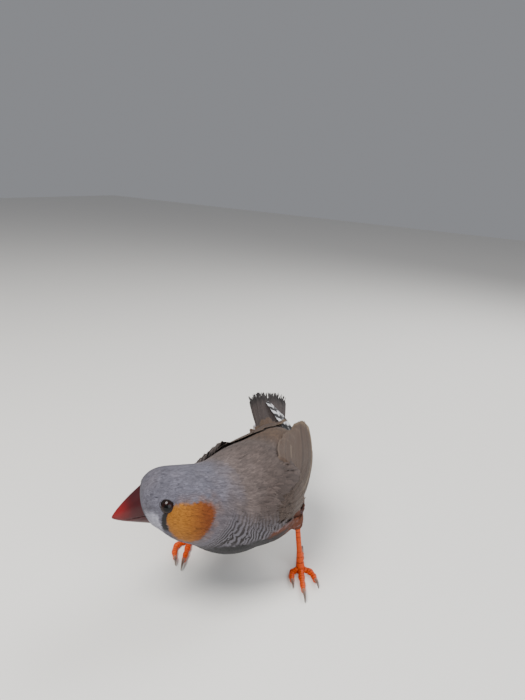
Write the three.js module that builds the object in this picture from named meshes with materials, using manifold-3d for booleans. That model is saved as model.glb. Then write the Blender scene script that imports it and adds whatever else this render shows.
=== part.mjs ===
// A life-size zebra finch, male, crouched on both feet with its head turned to its right.
// Millimetres and degrees. The trunk faces -Y, +X is the bird's left, +Z is up, and the floor is z = 0.
import * as THREE from 'three';
import { mergeVertices } from 'three/addons/utils/BufferGeometryUtils.js';
import Module from 'manifold-3d';

const wasm = await Module();
wasm.setup();

// Driving dimensions of the body
const GAP = 0.3; // clear space between neighbouring pieces
const TRUNK_CENTRE = [0.9, -0.6, 19.9];
const TRUNK_HALF = [12.3, 18.5, 11.3]; // half width, half length, half height
const BREAST_CENTRE = [-0.6, -9.6, 19.2];
const BREAST_HALF = [11.4, 10.0, 9.7];
const FLANK_CENTRE = [6.6, 1.5, 16.2];
const FLANK_HALF = [5.9, 9.8, 6.8];
const RUMP_CENTRE = [-0.8, 13.0, 23.4];
const RUMP_HALF = [8.0, 10.5, 6.2];
const VENT_CENTRE = [-0.4, 11.0, 20.2];
const VENT_HALF = [7.6, 10.5, 7.0];
const NECK_CENTRE = [-2.2, -14.8, 22.2];
const NECK_HALF = [9.2, 8.5, 8.2];
const NECK_CUT_BEHIND = 3.0; // how far behind its middle the neck ends
const NECK_WAY = [-0.25, -0.92, 0.3]; // the way the neck leaves the trunk
const BODY_BLEND = 3.2; // how softly one mass of the body runs into the next
const END_INSET = 0.002; // share of the spine left out at its two ends
const RING_CROWDING = 0.75; // 0 spaces the rings evenly, 1 crowds them at the ends

// Driving dimensions of the head, which has its own frame: -Y along the bill, +X left, +Z up
const HEAD_CENTRE = [-5.0, -20.6, 25.2];
const HEAD_TURN = 46; // to the bird's right
const HEAD_DIP = 13; // bill down
const HEAD_TILT = 8; // left side up
const SKULL_HALF = [7.5, 7.6, 6.7];
const CHEEK_CENTRE = [2.4, 2.2, -2.8];
const CHEEK_HALF = [5.2, 6.0, 5.4];
const THROAT_CENTRE = [0, 3.6, -4.8];
const THROAT_HALF = [5.8, 6.6, 4.9];
const FOREHEAD_CENTRE = [0, -3.3, 1.7];
const FOREHEAD_HALF = [5.4, 4.2, 5.0];
const HEAD_CUT_Y = 6.2; // where the head ends, behind its middle
const EYE_PLACE = [1, -2.0, 1.2]; // the way to the eye from the middle of the head
const EYE_RADIUS = 1.75;
const EYE_PROUD = 0.45; // how far the eye stands out of the face
const BILL_LENGTH = 9.0;
const BILL_DEPTH = 9.6;
const BILL_WIDTH = 7.6;
const BILL_BASE_Y = -5.2; // where the bill leaves the face, in the head's frame
const BILL_BASE_Z = 0.5;
const BILL_ROOT = 1.6; // how deep the bill sits in the face
const BILL_DROOP = 1.2; // how far the tip lies below the middle of the base
const GAPE_BELOW = 1.3; // how far the line where the mandibles meet lies below the middle of the base
const GAPE_SLOPE = 0.12; // fall of that line towards the tip

// Driving dimensions of the wings: each runs from its wrist to its tip over the side of the trunk
const WING_LINE = [
  [9.9, -12.0, 21.2],
  [12.3, -4.0, 21.2],
  [11.1, 8.5, 23.6],
  [2.9, 25.5, 28.6],
]; // of the left wing; the right one mirrors it
const WING_BEND = 1.7; // how far both tips bend to the bird's right, as its back does
const WING_DROP = { left: 0, right: 0.9 }; // how much lower a wing lies than its line
const WING_HALF_HEIGHT = 5.7;
const WING_SAG = 0.35; // share by which the lower edge hangs lower along the flank
const WING_TIP_HALF_HEIGHT = 3.0;
const WING_ROUNDING = 12.8; // radius of the wing's section
const WING_THICKNESS = 2.0;
const WING_RIM = 0.6; // thickness at its edges

// Driving dimensions of the tail
const TAIL_ROOT = [-0.8, 13.5, 24.4];
const TAIL_LENGTH = 37.0;
const TAIL_SWING = 33; // tip towards the bird's right
const TAIL_RISE = 2;
const TAIL_HALF_WIDTH_ROOT = 3.4;
const TAIL_HALF_WIDTH_TIP = 6.0;
const TAIL_NOTCH = 2.5;
const TAIL_ARCH = 1.2; // how far the sides hang below the middle
const TAIL_THICKNESS_ROOT = 3.4;
const TAIL_THICKNESS_TIP = 0.9;
const COVERTS_CENTRE = [0, 7.5, -0.7]; // the coverts round the tail's root, in the tail's frame
const COVERTS_HALF = [4.7, 9.5, 3.5];

// Driving dimensions of the legs
const THIGH_RADIUS_TOP = 5.0;
const THIGH_RADIUS_HOCK = 1.5;
const THIGH_END = 0.8; // how far the leg feathers reach below the hock
const HOCK_HEIGHT = 13.2;
const SHANK_ABOVE_HOCK = 0.6; // hidden in the leg feathers
const SHANK_BELOW_FLOOR = 0.3; // cut off flat at the floor
const SHANK_RADIUS_TOP = 0.8;
const SHANK_RADIUS_MIDDLE = 0.64;
const SHANK_RADIUS_FOOT = 1.15;
const TOE_RADIUS = 0.78;
const TOE_AXIS_HEIGHT = 0.58;
const CLAW_LENGTHS = { inner: 2.2, middle: 3.4, outer: 2.2, hind: 3.4 };
const CLAW_RADIUS = 0.46;
const CLAW_POINT_RADIUS = 0.14;
const CLAW_ROOT_HEIGHT = 0.75;
const CLAW_RISE = 0.35; // how far it arches above its root
const CLAW_POINT_HEIGHT = 0.22;

// Where each leg stands: the middles of its hock and palm, and the way its middle toe points, turned from -Y
// towards +X. The spread is each toe's angle from the middle one, and bow how far the outer two bend aside.
const LEGS = {
  left: {
    thigh: [7.6, 0.5, 19.5],
    hock: [11.8, 4.8],
    palm: [14.0, 4.6],
    points: 33,
    spread: { inner: -26, middle: 0, outer: 36, hind: 172 },
    toes: { inner: 5.4, middle: 8.6, outer: 5.6, hind: 7.0 },
    bow: 1.3,
  },
  right: {
    thigh: [-7.0, -1.5, 19.5],
    hock: [-9.5, -0.4],
    palm: [-14.9, -1.8],
    points: 27,
    spread: { inner: 74, middle: 0, outer: -15, hind: 180 },
    toes: { inner: 5.6, middle: 8.6, outer: 8.4, hind: 7.0 },
    bow: 2.2,
  },
};

const radians = THREE.MathUtils.degToRad;
const vector = (list) => new THREE.Vector3(...list);
const mix = THREE.MathUtils.lerp;
const smooth = THREE.MathUtils.smoothstep;

// Solids and meshes
function solidOf(geometry) {
  const bare = geometry.clone();
  bare.deleteAttribute('normal');
  bare.deleteAttribute('uv');
  const merged = mergeVertices(bare, 1e-4);
  const mesh = new wasm.Mesh({
    numProp: 3,
    vertProperties: merged.attributes.position.array,
    triVerts: new Uint32Array(merged.index.array),
  });
  return new wasm.Manifold(mesh);
}

function geometryOf(solid) {
  const mesh = solid.getMesh();
  const geometry = new THREE.BufferGeometry();
  geometry.setAttribute('position', new THREE.BufferAttribute(mesh.vertProperties, 3));
  geometry.setIndex(new THREE.BufferAttribute(mesh.triVerts, 1));
  geometry.computeVertexNormals();
  return geometry;
}

// Moves every corner of a geometry to where place() says, and turns its faces round if asked.
function reshaped(geometry, place, flip = false) {
  const position = geometry.attributes.position;
  const corner = new THREE.Vector3();
  for (let i = 0; i < position.count; i++) {
    corner.fromBufferAttribute(position, i);
    position.setXYZ(i, ...place(corner.clone()).toArray());
  }
  const order = geometry.index.array;
  if (flip) {
    for (let i = 0; i < order.length; i += 3) {
      [order[i + 1], order[i + 2]] = [order[i + 2], order[i + 1]];
    }
  }
  return geometry;
}

// A round limb along a curve: radius(t) is its half thickness from its start, t = 0, to its end.
function limb(curve, radius, sides, steps) {
  const frames = curve.computeFrenetFrames(steps, false);
  const rod = new THREE.CylinderGeometry(1, 1, 1, sides, steps);
  return reshaped(rod, (corner) => {
    const t = corner.y + 0.5;
    const k = Math.round(t * steps);
    const r = radius(t);
    return curve
      .getPointAt(t)
      .addScaledVector(frames.normals[k], corner.x * r)
      .addScaledVector(frames.binormals[k], -corner.z * r);
  });
}

// A thin shaped plate: place(u, v, side) gives its skin, with u along it, v from -1 to 1 across it,
// and side +1 on its outer face and -1 on its inner face.
function plate(place, stepsAlong, stepsAcross, flip = false) {
  const slab = new THREE.BoxGeometry(1, 2, 2, stepsAlong, stepsAcross, 1);
  return reshaped(slab, (corner) => place(corner.x + 0.5, corner.y, corner.z), flip);
}

// The half of space beyond a point, along a direction, as a large box.
function beyond(point, direction) {
  const size = 200;
  const box = new THREE.BoxGeometry(size, size, size);
  box.translate(0, 0, size / 2);
  const turn = new THREE.Quaternion().setFromUnitVectors(
    new THREE.Vector3(0, 0, 1),
    direction.clone().normalize(),
  );
  box.applyQuaternion(turn);
  box.translate(point.x, point.y, point.z);
  return solidOf(box);
}

// The head's frame
const headFrame = new THREE.Matrix4().compose(
  vector(HEAD_CENTRE),
  new THREE.Quaternion().setFromEuler(
    new THREE.Euler(radians(HEAD_DIP), -radians(HEAD_TILT), -radians(HEAD_TURN), 'ZXY'),
  ),
  new THREE.Vector3(1, 1, 1),
);
const inHead = (x, y, z) => new THREE.Vector3(x, y, z).applyMatrix4(headFrame);

// The tail's frame: +Y runs along it, away from the trunk
const tailFrame = new THREE.Matrix4().compose(
  vector(TAIL_ROOT),
  new THREE.Quaternion().setFromEuler(
    new THREE.Euler(radians(TAIL_RISE), 0, radians(TAIL_SWING), 'ZXY'),
  ),
  new THREE.Vector3(1, 1, 1),
);
const inTail = (x, y, z) => new THREE.Vector3(x, y, z).applyMatrix4(tailFrame);

// Rounded masses, which together make the feathered body
function mass(frame, centre, half) {
  const own = frame.clone().multiply(new THREE.Matrix4().makeTranslation(...centre));
  const back = own.invert();
  return (point) => {
    const p = point.clone().applyMatrix4(back);
    const near = Math.hypot(p.x / half[0], p.y / half[1], p.z / half[2]);
    const steep = Math.hypot(p.x / half[0] ** 2, p.y / half[1] ** 2, p.z / half[2] ** 2);
    return steep > 0 ? (near * (near - 1)) / steep : -Math.min(...half);
  };
}

const bodyFrame = new THREE.Matrix4();
const mirrored = (centre) => [-centre[0], centre[1], centre[2]];
const masses = [
  mass(bodyFrame, TRUNK_CENTRE, TRUNK_HALF),
  mass(bodyFrame, BREAST_CENTRE, BREAST_HALF),
  mass(bodyFrame, FLANK_CENTRE, FLANK_HALF),
  mass(bodyFrame, mirrored(FLANK_CENTRE), FLANK_HALF),
  mass(bodyFrame, RUMP_CENTRE, RUMP_HALF),
  mass(bodyFrame, VENT_CENTRE, VENT_HALF),
  mass(tailFrame, COVERTS_CENTRE, COVERTS_HALF),
  mass(bodyFrame, NECK_CENTRE, NECK_HALF),
  mass(headFrame, [0, 0, 0], SKULL_HALF),
  mass(headFrame, CHEEK_CENTRE, CHEEK_HALF),
  mass(headFrame, mirrored(CHEEK_CENTRE), CHEEK_HALF),
  mass(headFrame, THROAT_CENTRE, THROAT_HALF),
  mass(headFrame, FOREHEAD_CENTRE, FOREHEAD_HALF),
];

// Distance to the body's surface, below zero inside: a smooth union of the masses.
function bodyDistance(point) {
  let distance = Infinity;
  for (const massDistance of masses) {
    const next = massDistance(point);
    const overlap = Math.max(BODY_BLEND - Math.abs(distance - next), 0) / BODY_BLEND;
    distance = Math.min(distance, next) - (overlap ** 2 * BODY_BLEND) / 4;
  }
  return distance;
}

// The body's axis, from the root of the tail to the middle of the face
const spine = new THREE.CatmullRomCurve3([
  inTail(0, 16.6, -0.8),
  inTail(0, 6.0, -1.2),
  vector(TRUNK_CENTRE),
  vector(BREAST_CENTRE).lerp(vector(NECK_CENTRE), 0.45),
  vector(NECK_CENTRE),
  inHead(0, 1.0, -0.6),
  inHead(0, -8.15, -0.2),
]);

// How far the body's surface lies from a point inside it, along a direction
function reachToSurface(point, way) {
  const step = 0.5;
  let reach = step;
  while (bodyDistance(point.clone().addScaledVector(way, reach)) < 0) reach += step;
  let low = reach - step;
  for (let pass = 0; pass < 14; pass++) {
    const middle = (low + reach) / 2;
    const inside = bodyDistance(point.clone().addScaledVector(way, middle)) < 0;
    if (inside) low = middle;
    else reach = middle;
  }
  return low;
}

// The body as one closed skin: rings round the spine, pushed out to its surface.
function bodySkin(sides, steps) {
  const rod = new THREE.CylinderGeometry(1, 1, 1, sides, steps);
  const upright = new THREE.Vector3(0, 0, 1);
  return reshaped(rod, (corner) => {
    const even = corner.y + 0.5;
    const crowded = (1 - Math.cos(Math.PI * even)) / 2; // rings closer together at the ends
    const t = mix(END_INSET, 1 - END_INSET, mix(even, crowded, RING_CROWDING));
    const centre = spine.getPointAt(t);
    const ahead = spine.getTangentAt(t);
    const side = new THREE.Vector3().crossVectors(ahead, upright).normalize();
    const up = new THREE.Vector3().crossVectors(side, ahead);
    const ray = side.multiplyScalar(corner.x).addScaledVector(up, corner.z);
    const onAxis = ray.length() < 0.5;
    return onAxis ? centre : centre.addScaledVector(ray, reachToSurface(centre, ray));
  });
}

// Bill: its thickness falls from the face to the tip as a power of what is left of its length.
function billShape(extra) {
  const roundness = 0.78; // below 1 swells the bill before its tip
  const flattening = 1.12; // above 1 narrows it faster from the sides
  const bluntness = 0.03; // share of its thickness left at the tip
  const rod = new THREE.CylinderGeometry(1, 1, 1, 14, 7);
  return reshaped(rod, (corner) => {
    const reach = (corner.y + 0.5) * (BILL_LENGTH + BILL_ROOT);
    const beyondFace = Math.max(0, (reach - BILL_ROOT) / BILL_LENGTH);
    const swell = Math.pow(1 - Math.min(beyondFace, 1), roundness) + bluntness;
    const droop = BILL_DROOP * Math.pow(beyondFace, 1.5);
    const halfDepth = (BILL_DEPTH / 2) * swell + extra;
    const halfWidth = (BILL_WIDTH / 2) * Math.pow(swell, flattening) + extra;
    const y = BILL_BASE_Y + BILL_ROOT - reach;
    return inHead(corner.x * halfWidth, y, BILL_BASE_Z - droop + corner.z * halfDepth);
  }, true);
}

// A wing, with clear as the room left round it
function wingShape(side, clear) {
  const sign = side === 'left' ? 1 : -1;
  const wristShare = 0.2; // share of the length over which the wrist rounds off
  const tipShare = 0.14;
  const points = WING_LINE.map(([x, y, z]) => {
    const droop = WING_DROP[side];
    return new THREE.Vector3(sign * x - WING_BEND * smooth(y, 0, 25), y, z - droop);
  });
  const line = new THREE.CatmullRomCurve3(points);
  const reach = line.getLength();
  const outward = clear > 0 ? 5 : 0; // what is cut from the trunk goes right through its skin
  return plate((u, v, face) => {
    const t = mix(-clear / reach, 1 + clear / reach, u);
    const inLine = Math.min(Math.max(t, 0), 1);
    const along = line.getTangentAt(inLine);
    const centre = line.getPointAt(inLine).addScaledVector(along, (t - inLine) * reach);
    const outwards = new THREE.Vector3(centre.x, 0, centre.z - TRUNK_CENTRE[2]);
    outwards.addScaledVector(along, -outwards.dot(along)).normalize();
    const across = new THREE.Vector3().crossVectors(outwards, along).multiplyScalar(sign);
    const fromWrist = Math.min(inLine / wristShare, 1);
    const intoTip = Math.max((inLine - 1 + tipShare) / tipShare, 0);
    const wristRound = mix(0.2, 1, Math.sqrt(1 - (1 - fromWrist) ** 2));
    const tipRound = mix(0.3, 1, Math.sqrt(1 - intoTip ** 2));
    const taper = mix(WING_HALF_HEIGHT, WING_TIP_HALF_HEIGHT, smooth(inLine, 0.5, 1.1));
    const sag = v < 0 ? 1 + WING_SAG * Math.sin(Math.PI * Math.min(Math.max((inLine - 0.1) / 0.5, 0), 1)) : 1;
    const angle = (v * (taper * wristRound * tipRound * sag + clear)) / WING_ROUNDING;
    const normal = outwards.clone().multiplyScalar(Math.cos(angle)).addScaledVector(across, Math.sin(angle));
    const crown = Math.sqrt(Math.max(1 - v * v, 0)) * Math.sin(Math.PI * mix(0.12, 0.9, inLine));
    const half = mix(WING_RIM, WING_THICKNESS, crown) / 2 + clear;
    return centre
      .addScaledVector(outwards, -WING_ROUNDING)
      .addScaledVector(normal, WING_ROUNDING + face * half + (face > 0 ? outward : 0));
  }, 16, 5, sign < 0);
}

// The tail, a slightly arched plate with a notch in its end
function tailShape(clear) {
  const notchWidth = 0.16; // as a share of the half width
  const cornerRounding = 0.1; // share of the length by which the outer feathers are shorter
  const rimShare = 0.45; // thickness at the sides as a share of that in the middle
  return plate((u, v, side) => {
    const widest = mix(TAIL_HALF_WIDTH_ROOT, TAIL_HALF_WIDTH_TIP, smooth(u, 0, 0.9));
    const notch = TAIL_NOTCH * Math.exp(-((v / notchWidth) ** 2)) * smooth(u, 0.4, 1);
    const y = mix(-clear, TAIL_LENGTH + clear, u) * (1 - cornerRounding * v ** 4) - notch;
    const half = mix(TAIL_THICKNESS_ROOT, TAIL_THICKNESS_TIP, Math.sqrt(u)) / 2 + clear;
    const rim = mix(rimShare, 1, Math.sqrt(1 - v * v));
    const z = side * half * rim - TAIL_ARCH * v * v * u;
    return inTail(-v * (widest + clear), y, z);
  }, 8, 8);
}

// A leg's feathered thigh, bare shank, toes and claws
function thighShape(leg, clear) {
  const [hockX, hockY] = leg.hock;
  const smallest = 0.5; // radius of its two rounded ends
  const curve = new THREE.CatmullRomCurve3([
    vector(leg.thigh),
    new THREE.Vector3(hockX * 0.92, hockY * 0.7, HOCK_HEIGHT + 2.6),
    new THREE.Vector3(hockX, hockY, HOCK_HEIGHT - THIGH_END),
  ]);
  return limb(curve, (t) => {
    const round = Math.sqrt(Math.max(1 - (2 * t - 1) ** 8, 0));
    const taper = mix(THIGH_RADIUS_TOP, THIGH_RADIUS_HOCK, Math.pow(t, 0.7));
    return Math.max(taper * round, smallest) + clear;
  }, 10, 6);
}

function shankShape(leg, clear) {
  const [hockX, hockY] = leg.hock;
  const [palmX, palmY] = leg.palm;
  const bend = 0.2; // how far its middle bows backwards
  const curve = new THREE.CatmullRomCurve3([
    new THREE.Vector3(hockX, hockY, HOCK_HEIGHT + SHANK_ABOVE_HOCK),
    new THREE.Vector3(mix(hockX, palmX, 0.5), mix(hockY, palmY, 0.5) + bend, HOCK_HEIGHT / 2),
    new THREE.Vector3(palmX, palmY, -SHANK_BELOW_FLOOR),
  ]);
  return limb(curve, (t) => {
    const upper = mix(SHANK_RADIUS_TOP, SHANK_RADIUS_MIDDLE, smooth(t, 0, 0.35));
    return mix(upper, SHANK_RADIUS_FOOT, smooth(t, 0.5, 0.92)) + clear;
  }, 9, 8);
}

// The line of a toe along the floor, from the palm outwards
function toeCurve(leg, toe) {
  const angle = radians(leg.points + leg.spread[toe]);
  const ahead = new THREE.Vector3(Math.sin(angle), -Math.cos(angle), 0);
  const aside = new THREE.Vector3(Math.cos(angle), Math.sin(angle), 0);
  const bow = toe === 'hind' ? 0 : leg.bow * Math.sign(leg.spread[toe]);
  const start = new THREE.Vector3(...leg.palm, TOE_AXIS_HEIGHT);
  const knots = [0.06, 0.3, 0.6, 1].map((share) =>
    start
      .clone()
      .addScaledVector(ahead, share * leg.toes[toe])
      .addScaledVector(aside, bow * Math.sin(Math.PI * Math.pow(share, 0.7))),
  );
  return new THREE.CatmullRomCurve3(knots);
}

function toeShape(leg, toe, clear) {
  const padDepth = 0.1; // how much the pads swell between the joints
  const pads = 3;
  return limb(toeCurve(leg, toe), (t) => {
    const swell = 1 + padDepth * Math.cos(2 * Math.PI * pads * t);
    const ends = Math.sqrt(Math.max(1 - ((t - 0.5) / 0.52) ** 12, 0.1));
    return TOE_RADIUS * mix(1.05, 0.8, t) * ends * swell + clear;
  }, 7, 9);
}

function clawShape(leg, toe, clear) {
  const rooted = 0.1; // share of the toe that holds the claw
  const curve = toeCurve(leg, toe);
  const start = curve.getPointAt(1 - rooted);
  const ahead = curve.getTangentAt(1);
  const reach = CLAW_LENGTHS[toe] + leg.toes[toe] * rooted;
  const claw = new THREE.CatmullRomCurve3([
    start.clone().setZ(CLAW_ROOT_HEIGHT),
    start.clone().addScaledVector(ahead, reach * 0.45).setZ(CLAW_ROOT_HEIGHT + CLAW_RISE),
    start.clone().addScaledVector(ahead, reach * 0.8).setZ(CLAW_ROOT_HEIGHT),
    start.clone().addScaledVector(ahead, reach).setZ(CLAW_POINT_HEIGHT),
  ]);
  return limb(claw, (t) => mix(CLAW_RADIUS, CLAW_POINT_RADIUS, Math.pow(t, 1.2)) + clear, 6, 5);
}

// The pieces
const materials = {
  coat: new THREE.MeshStandardMaterial({ color: 0x8b8a8c, roughness: 0.9, metalness: 0 }),
  bill: new THREE.MeshStandardMaterial({ color: 0xb8202a, roughness: 0.45, metalness: 0 }),
  eye: new THREE.MeshStandardMaterial({ color: 0x0d0b0a, roughness: 0.1, metalness: 0 }),
  wing: new THREE.MeshStandardMaterial({ color: 0x857a70, roughness: 0.85, metalness: 0 }),
  tail: new THREE.MeshStandardMaterial({ color: 0x3a3230, roughness: 0.85, metalness: 0 }),
  leg: new THREE.MeshStandardMaterial({ color: 0xe0794a, roughness: 0.55, metalness: 0 }),
  claw: new THREE.MeshStandardMaterial({ color: 0x5a4a48, roughness: 0.4, metalness: 0 }),
};
const group = new THREE.Group();
function piece(name, solid, material) {
  const mesh = new THREE.Mesh(geometryOf(solid), materials[material].clone());
  mesh.name = name;
  group.add(mesh);
}

// Cuts across the body: the head from the neck, and the neck from the trunk
const body = solidOf(bodySkin(24, 32));
const headCut = inHead(0, HEAD_CUT_Y, 0);
const headWay = inHead(0, -1, 0).sub(inHead(0, 0, 0));
const neckCut = vector(NECK_CENTRE).add(new THREE.Vector3(0, NECK_CUT_BEHIND, 0));
const neckWay = vector(NECK_WAY).normalize();
const back = (point, way) => point.clone().addScaledVector(way, -GAP);
const flip = (way) => way.clone().negate();

// Head, with the seats of its bill and eyes
const bill = solidOf(billShape(0));
const gapeWay = inHead(0, -GAPE_SLOPE, 1).sub(inHead(0, 0, 0)).normalize();
const gapePoint = inHead(0, BILL_BASE_Y, BILL_BASE_Z - GAPE_BELOW);
const eyes = {};
for (const [side, sign] of [['left', 1], ['right', -1]]) {
  const [x, y, z] = EYE_PLACE;
  const middle = inHead(0, y, z);
  const way = inHead(sign * x, y, z).sub(middle).normalize();
  eyes[side] = middle.addScaledVector(way, reachToSurface(middle, way) + EYE_PROUD - EYE_RADIUS);
}
function eyeBall(centre, clear) {
  const ball = new THREE.SphereGeometry(EYE_RADIUS + clear, 12, 8);
  return solidOf(ball.translate(centre.x, centre.y, centre.z));
}
const front = body.intersect(beyond(neckCut, neckWay));
let head = front.intersect(beyond(headCut, headWay)).subtract(solidOf(billShape(GAP)));
for (const centre of Object.values(eyes)) head = head.subtract(eyeBall(centre, GAP));
piece('head', head, 'coat');
piece('bill_upper', bill.intersect(beyond(gapePoint, gapeWay)), 'bill');
piece('bill_lower', bill.intersect(beyond(back(gapePoint, gapeWay), flip(gapeWay))), 'bill');
for (const [side, centre] of Object.entries(eyes)) piece('eye_' + side, eyeBall(centre, 0), 'eye');

// Neck
piece('neck', front.intersect(beyond(back(headCut, headWay), flip(headWay))), 'coat');

// Wings, cut off where the neck feathers cover the wrist
const behindNeck = beyond(back(neckCut, neckWay), flip(neckWay));
const wings = {
  left: { solid: solidOf(wingShape('left', 0)), room: solidOf(wingShape('left', GAP)) },
  right: { solid: solidOf(wingShape('right', 0)), room: solidOf(wingShape('right', GAP)) },
};
for (const [side, wing] of Object.entries(wings)) {
  piece('wing_' + side, wing.solid.intersect(behindNeck), 'wing');
}

// Tail
const tail = solidOf(tailShape(0));
piece('tail', tail.subtract(wings.left.room).subtract(wings.right.room), 'tail');

// Legs: each toe is cut clear of the shank and of the toes before it
const aboveFloor = beyond(new THREE.Vector3(0, 0, 0), new THREE.Vector3(0, 0, 1));
const legRooms = [];
for (const [side, leg] of Object.entries(LEGS)) {
  const shankRoom = solidOf(shankShape(leg, GAP));
  legRooms.push(solidOf(thighShape(leg, GAP)), shankRoom);
  const thigh = solidOf(thighShape(leg, 0)).subtract(shankRoom).subtract(wings[side].room);
  piece('thigh_' + side, thigh, 'coat');
  const shank = solidOf(shankShape(leg, 0)).intersect(aboveFloor);
  piece('shank_' + side, shank.subtract(wings[side].room), 'leg');
  let taken = shankRoom;
  for (const toe of ['middle', 'inner', 'outer', 'hind']) {
    const clawRoom = solidOf(clawShape(leg, toe, GAP));
    const whole = solidOf(toeShape(leg, toe, 0)).subtract(taken).intersect(aboveFloor);
    piece('toe_' + toe + '_' + side, whole.subtract(clawRoom), 'leg');
    piece('claw_' + toe + '_' + side, solidOf(clawShape(leg, toe, 0)), 'claw');
    taken = taken.add(solidOf(toeShape(leg, toe, GAP)));
  }
}

// Trunk, cut clear of all that joins it
let trunk = body.intersect(behindNeck);
trunk = trunk.subtract(wings.left.room).subtract(wings.right.room).subtract(solidOf(tailShape(GAP)));
for (const room of legRooms) trunk = trunk.subtract(room);
piece('trunk', trunk, 'coat');

// The origin lies on the floor, under the middle of the whole
const box = new THREE.Box3().setFromObject(group);
const middle = box.getCenter(new THREE.Vector3());
for (const mesh of group.children) mesh.geometry.translate(-middle.x, -middle.y, -box.min.z);

export default group;
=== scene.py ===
# A male zebra finch, life size, standing with its head and tail turned to its right.
# Lengths are in millimetres in this script and become metres when a mesh is made.
# Row frame: the trunk faces -Y, +X is the bird's left, +Z is up, and the floor is z = 0.
import math

import bmesh
import bpy
import numpy as np
from mathutils import Matrix, Vector
from mathutils.kdtree import KDTree


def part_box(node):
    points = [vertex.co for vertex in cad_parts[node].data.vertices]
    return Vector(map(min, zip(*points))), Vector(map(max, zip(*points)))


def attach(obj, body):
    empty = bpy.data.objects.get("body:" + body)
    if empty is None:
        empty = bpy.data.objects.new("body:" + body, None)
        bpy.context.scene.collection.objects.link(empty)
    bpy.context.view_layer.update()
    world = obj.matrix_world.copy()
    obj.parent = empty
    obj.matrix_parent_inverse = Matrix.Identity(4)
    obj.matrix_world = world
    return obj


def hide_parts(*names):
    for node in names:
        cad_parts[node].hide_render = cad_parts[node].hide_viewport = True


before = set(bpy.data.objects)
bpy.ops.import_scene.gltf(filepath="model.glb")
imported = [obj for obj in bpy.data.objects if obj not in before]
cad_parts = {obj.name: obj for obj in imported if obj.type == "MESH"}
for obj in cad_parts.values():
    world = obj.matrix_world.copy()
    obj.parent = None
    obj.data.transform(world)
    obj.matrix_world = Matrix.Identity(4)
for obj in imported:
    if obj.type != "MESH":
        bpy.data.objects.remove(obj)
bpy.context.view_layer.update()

MM = 0.001
rng = np.random.default_rng(7)

# Camera and its frame, from the photograph
CAMERA_PLACE = (73.28, -128.41, 96.7)
CAMERA_TURN = 30.0  # degrees from +Y towards -X
CAMERA_DIP = 16.6
CAMERA_ROLL = 3.6
CAMERA_LENS = 33.43
CAMERA_SENSOR = 36.0  # along the taller side
FLOOR_HALF = 900.0

# The body's rounded masses, as in the solids: middle and half sizes
ORIGIN = np.array([1.617, -7.892, 0.0])
BODY_BLEND = 3.2
BODY_MASSES = {
    "trunk": ((0.9, -0.6, 19.9), (12.3, 18.5, 11.3)),
    "breast": ((-0.6, -9.6, 19.2), (11.4, 10.0, 9.7)),
    "flank_left": ((6.6, 1.5, 16.2), (5.9, 9.8, 6.8)),
    "flank_right": ((-6.6, 1.5, 16.2), (5.9, 9.8, 6.8)),
    "rump": ((-0.8, 13.0, 23.4), (8.0, 10.5, 6.2)),
    "vent": ((-0.4, 11.0, 20.2), (7.6, 10.5, 7.0)),
    "neck": ((-2.2, -14.8, 22.2), (9.2, 8.5, 8.2)),
}
TAIL_MASSES = {"coverts": ((0, 7.5, -0.7), (4.7, 9.5, 3.5))}
HEAD_MASSES = {
    "skull": ((0, 0, 0), (7.5, 7.6, 6.7)),
    "cheek_left": ((2.4, 2.2, -2.8), (5.2, 6.0, 5.4)),
    "cheek_right": ((-2.4, 2.2, -2.8), (5.2, 6.0, 5.4)),
    "throat": ((0, 3.6, -4.8), (5.8, 6.6, 4.9)),
    "forehead": ((0, -3.3, 1.7), (5.4, 4.2, 5.0)),
}
HEAD_CENTRE = (-5.0, -20.6, 25.2)
HEAD_ANGLES = (13, -8, -46)  # dip, tilt and turn
TAIL_ROOT = (-0.8, 13.5, 24.4)
TAIL_ANGLES = (2, 0, 33)

# Bill and eyes, in the head's frame
BILL_LENGTH = 9.0
BILL_DEPTH = 9.6
BILL_WIDTH = 7.6
BILL_BASE_Y = -5.2
BILL_BASE_Z = 0.5
BILL_ROOT = 1.6
BILL_DROOP = 1.2
GAPE_BELOW = 1.3
GAPE_SLOPE = 0.12
GAPE_GAP = 0.12
EYE_RADIUS = 1.75
EYE_DOME = 0.035  # how far the front bulges, as a share of the radius

# Wings
WING_LINE = ((9.9, -12.0, 21.2), (12.3, -4.0, 21.2), (11.1, 8.5, 23.6), (2.9, 25.5, 28.6))
WING_BEND = 1.7
WING_DROP = {"left": 0.0, "right": 0.9}
WING_HALF_HEIGHT = 5.7
WING_TIP_HALF_HEIGHT = 3.0
WING_ROUNDING = 12.8
WING_SAG = 0.35  # share by which the lower edge hangs lower along the flank
WING_TUCK = 1.3  # how far the shoulder's upper edge sinks into the back
WING_OUT = 17.0  # distance from the wrist at which the wing comes out of the coat
LIFT_SLOPE = 0.35  # how steeply a body feather may climb over the edge of a wing
WING_FRONT_CUT = {"left": 0.0, "right": 3.2}  # length of the right wing that the neck feathers hide
CORE_THICKNESS = 0.6
PRIMARY_REACHES = (0.985, 1.0, 1.0, 0.99, 0.975, 0.955, 0.935, 0.91, 0.885)  # shares of the wing's length

# Tail
TAIL_LENGTH = 37.0
TAIL_BAR_PERIOD = 5.4  # distance between the white bars of the upper coverts
BARRED_TIPS = ((-0.3, 29.9), (1.1, 26.6), (2.7, 22.6))  # ends of the barred coverts on the left

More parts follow.
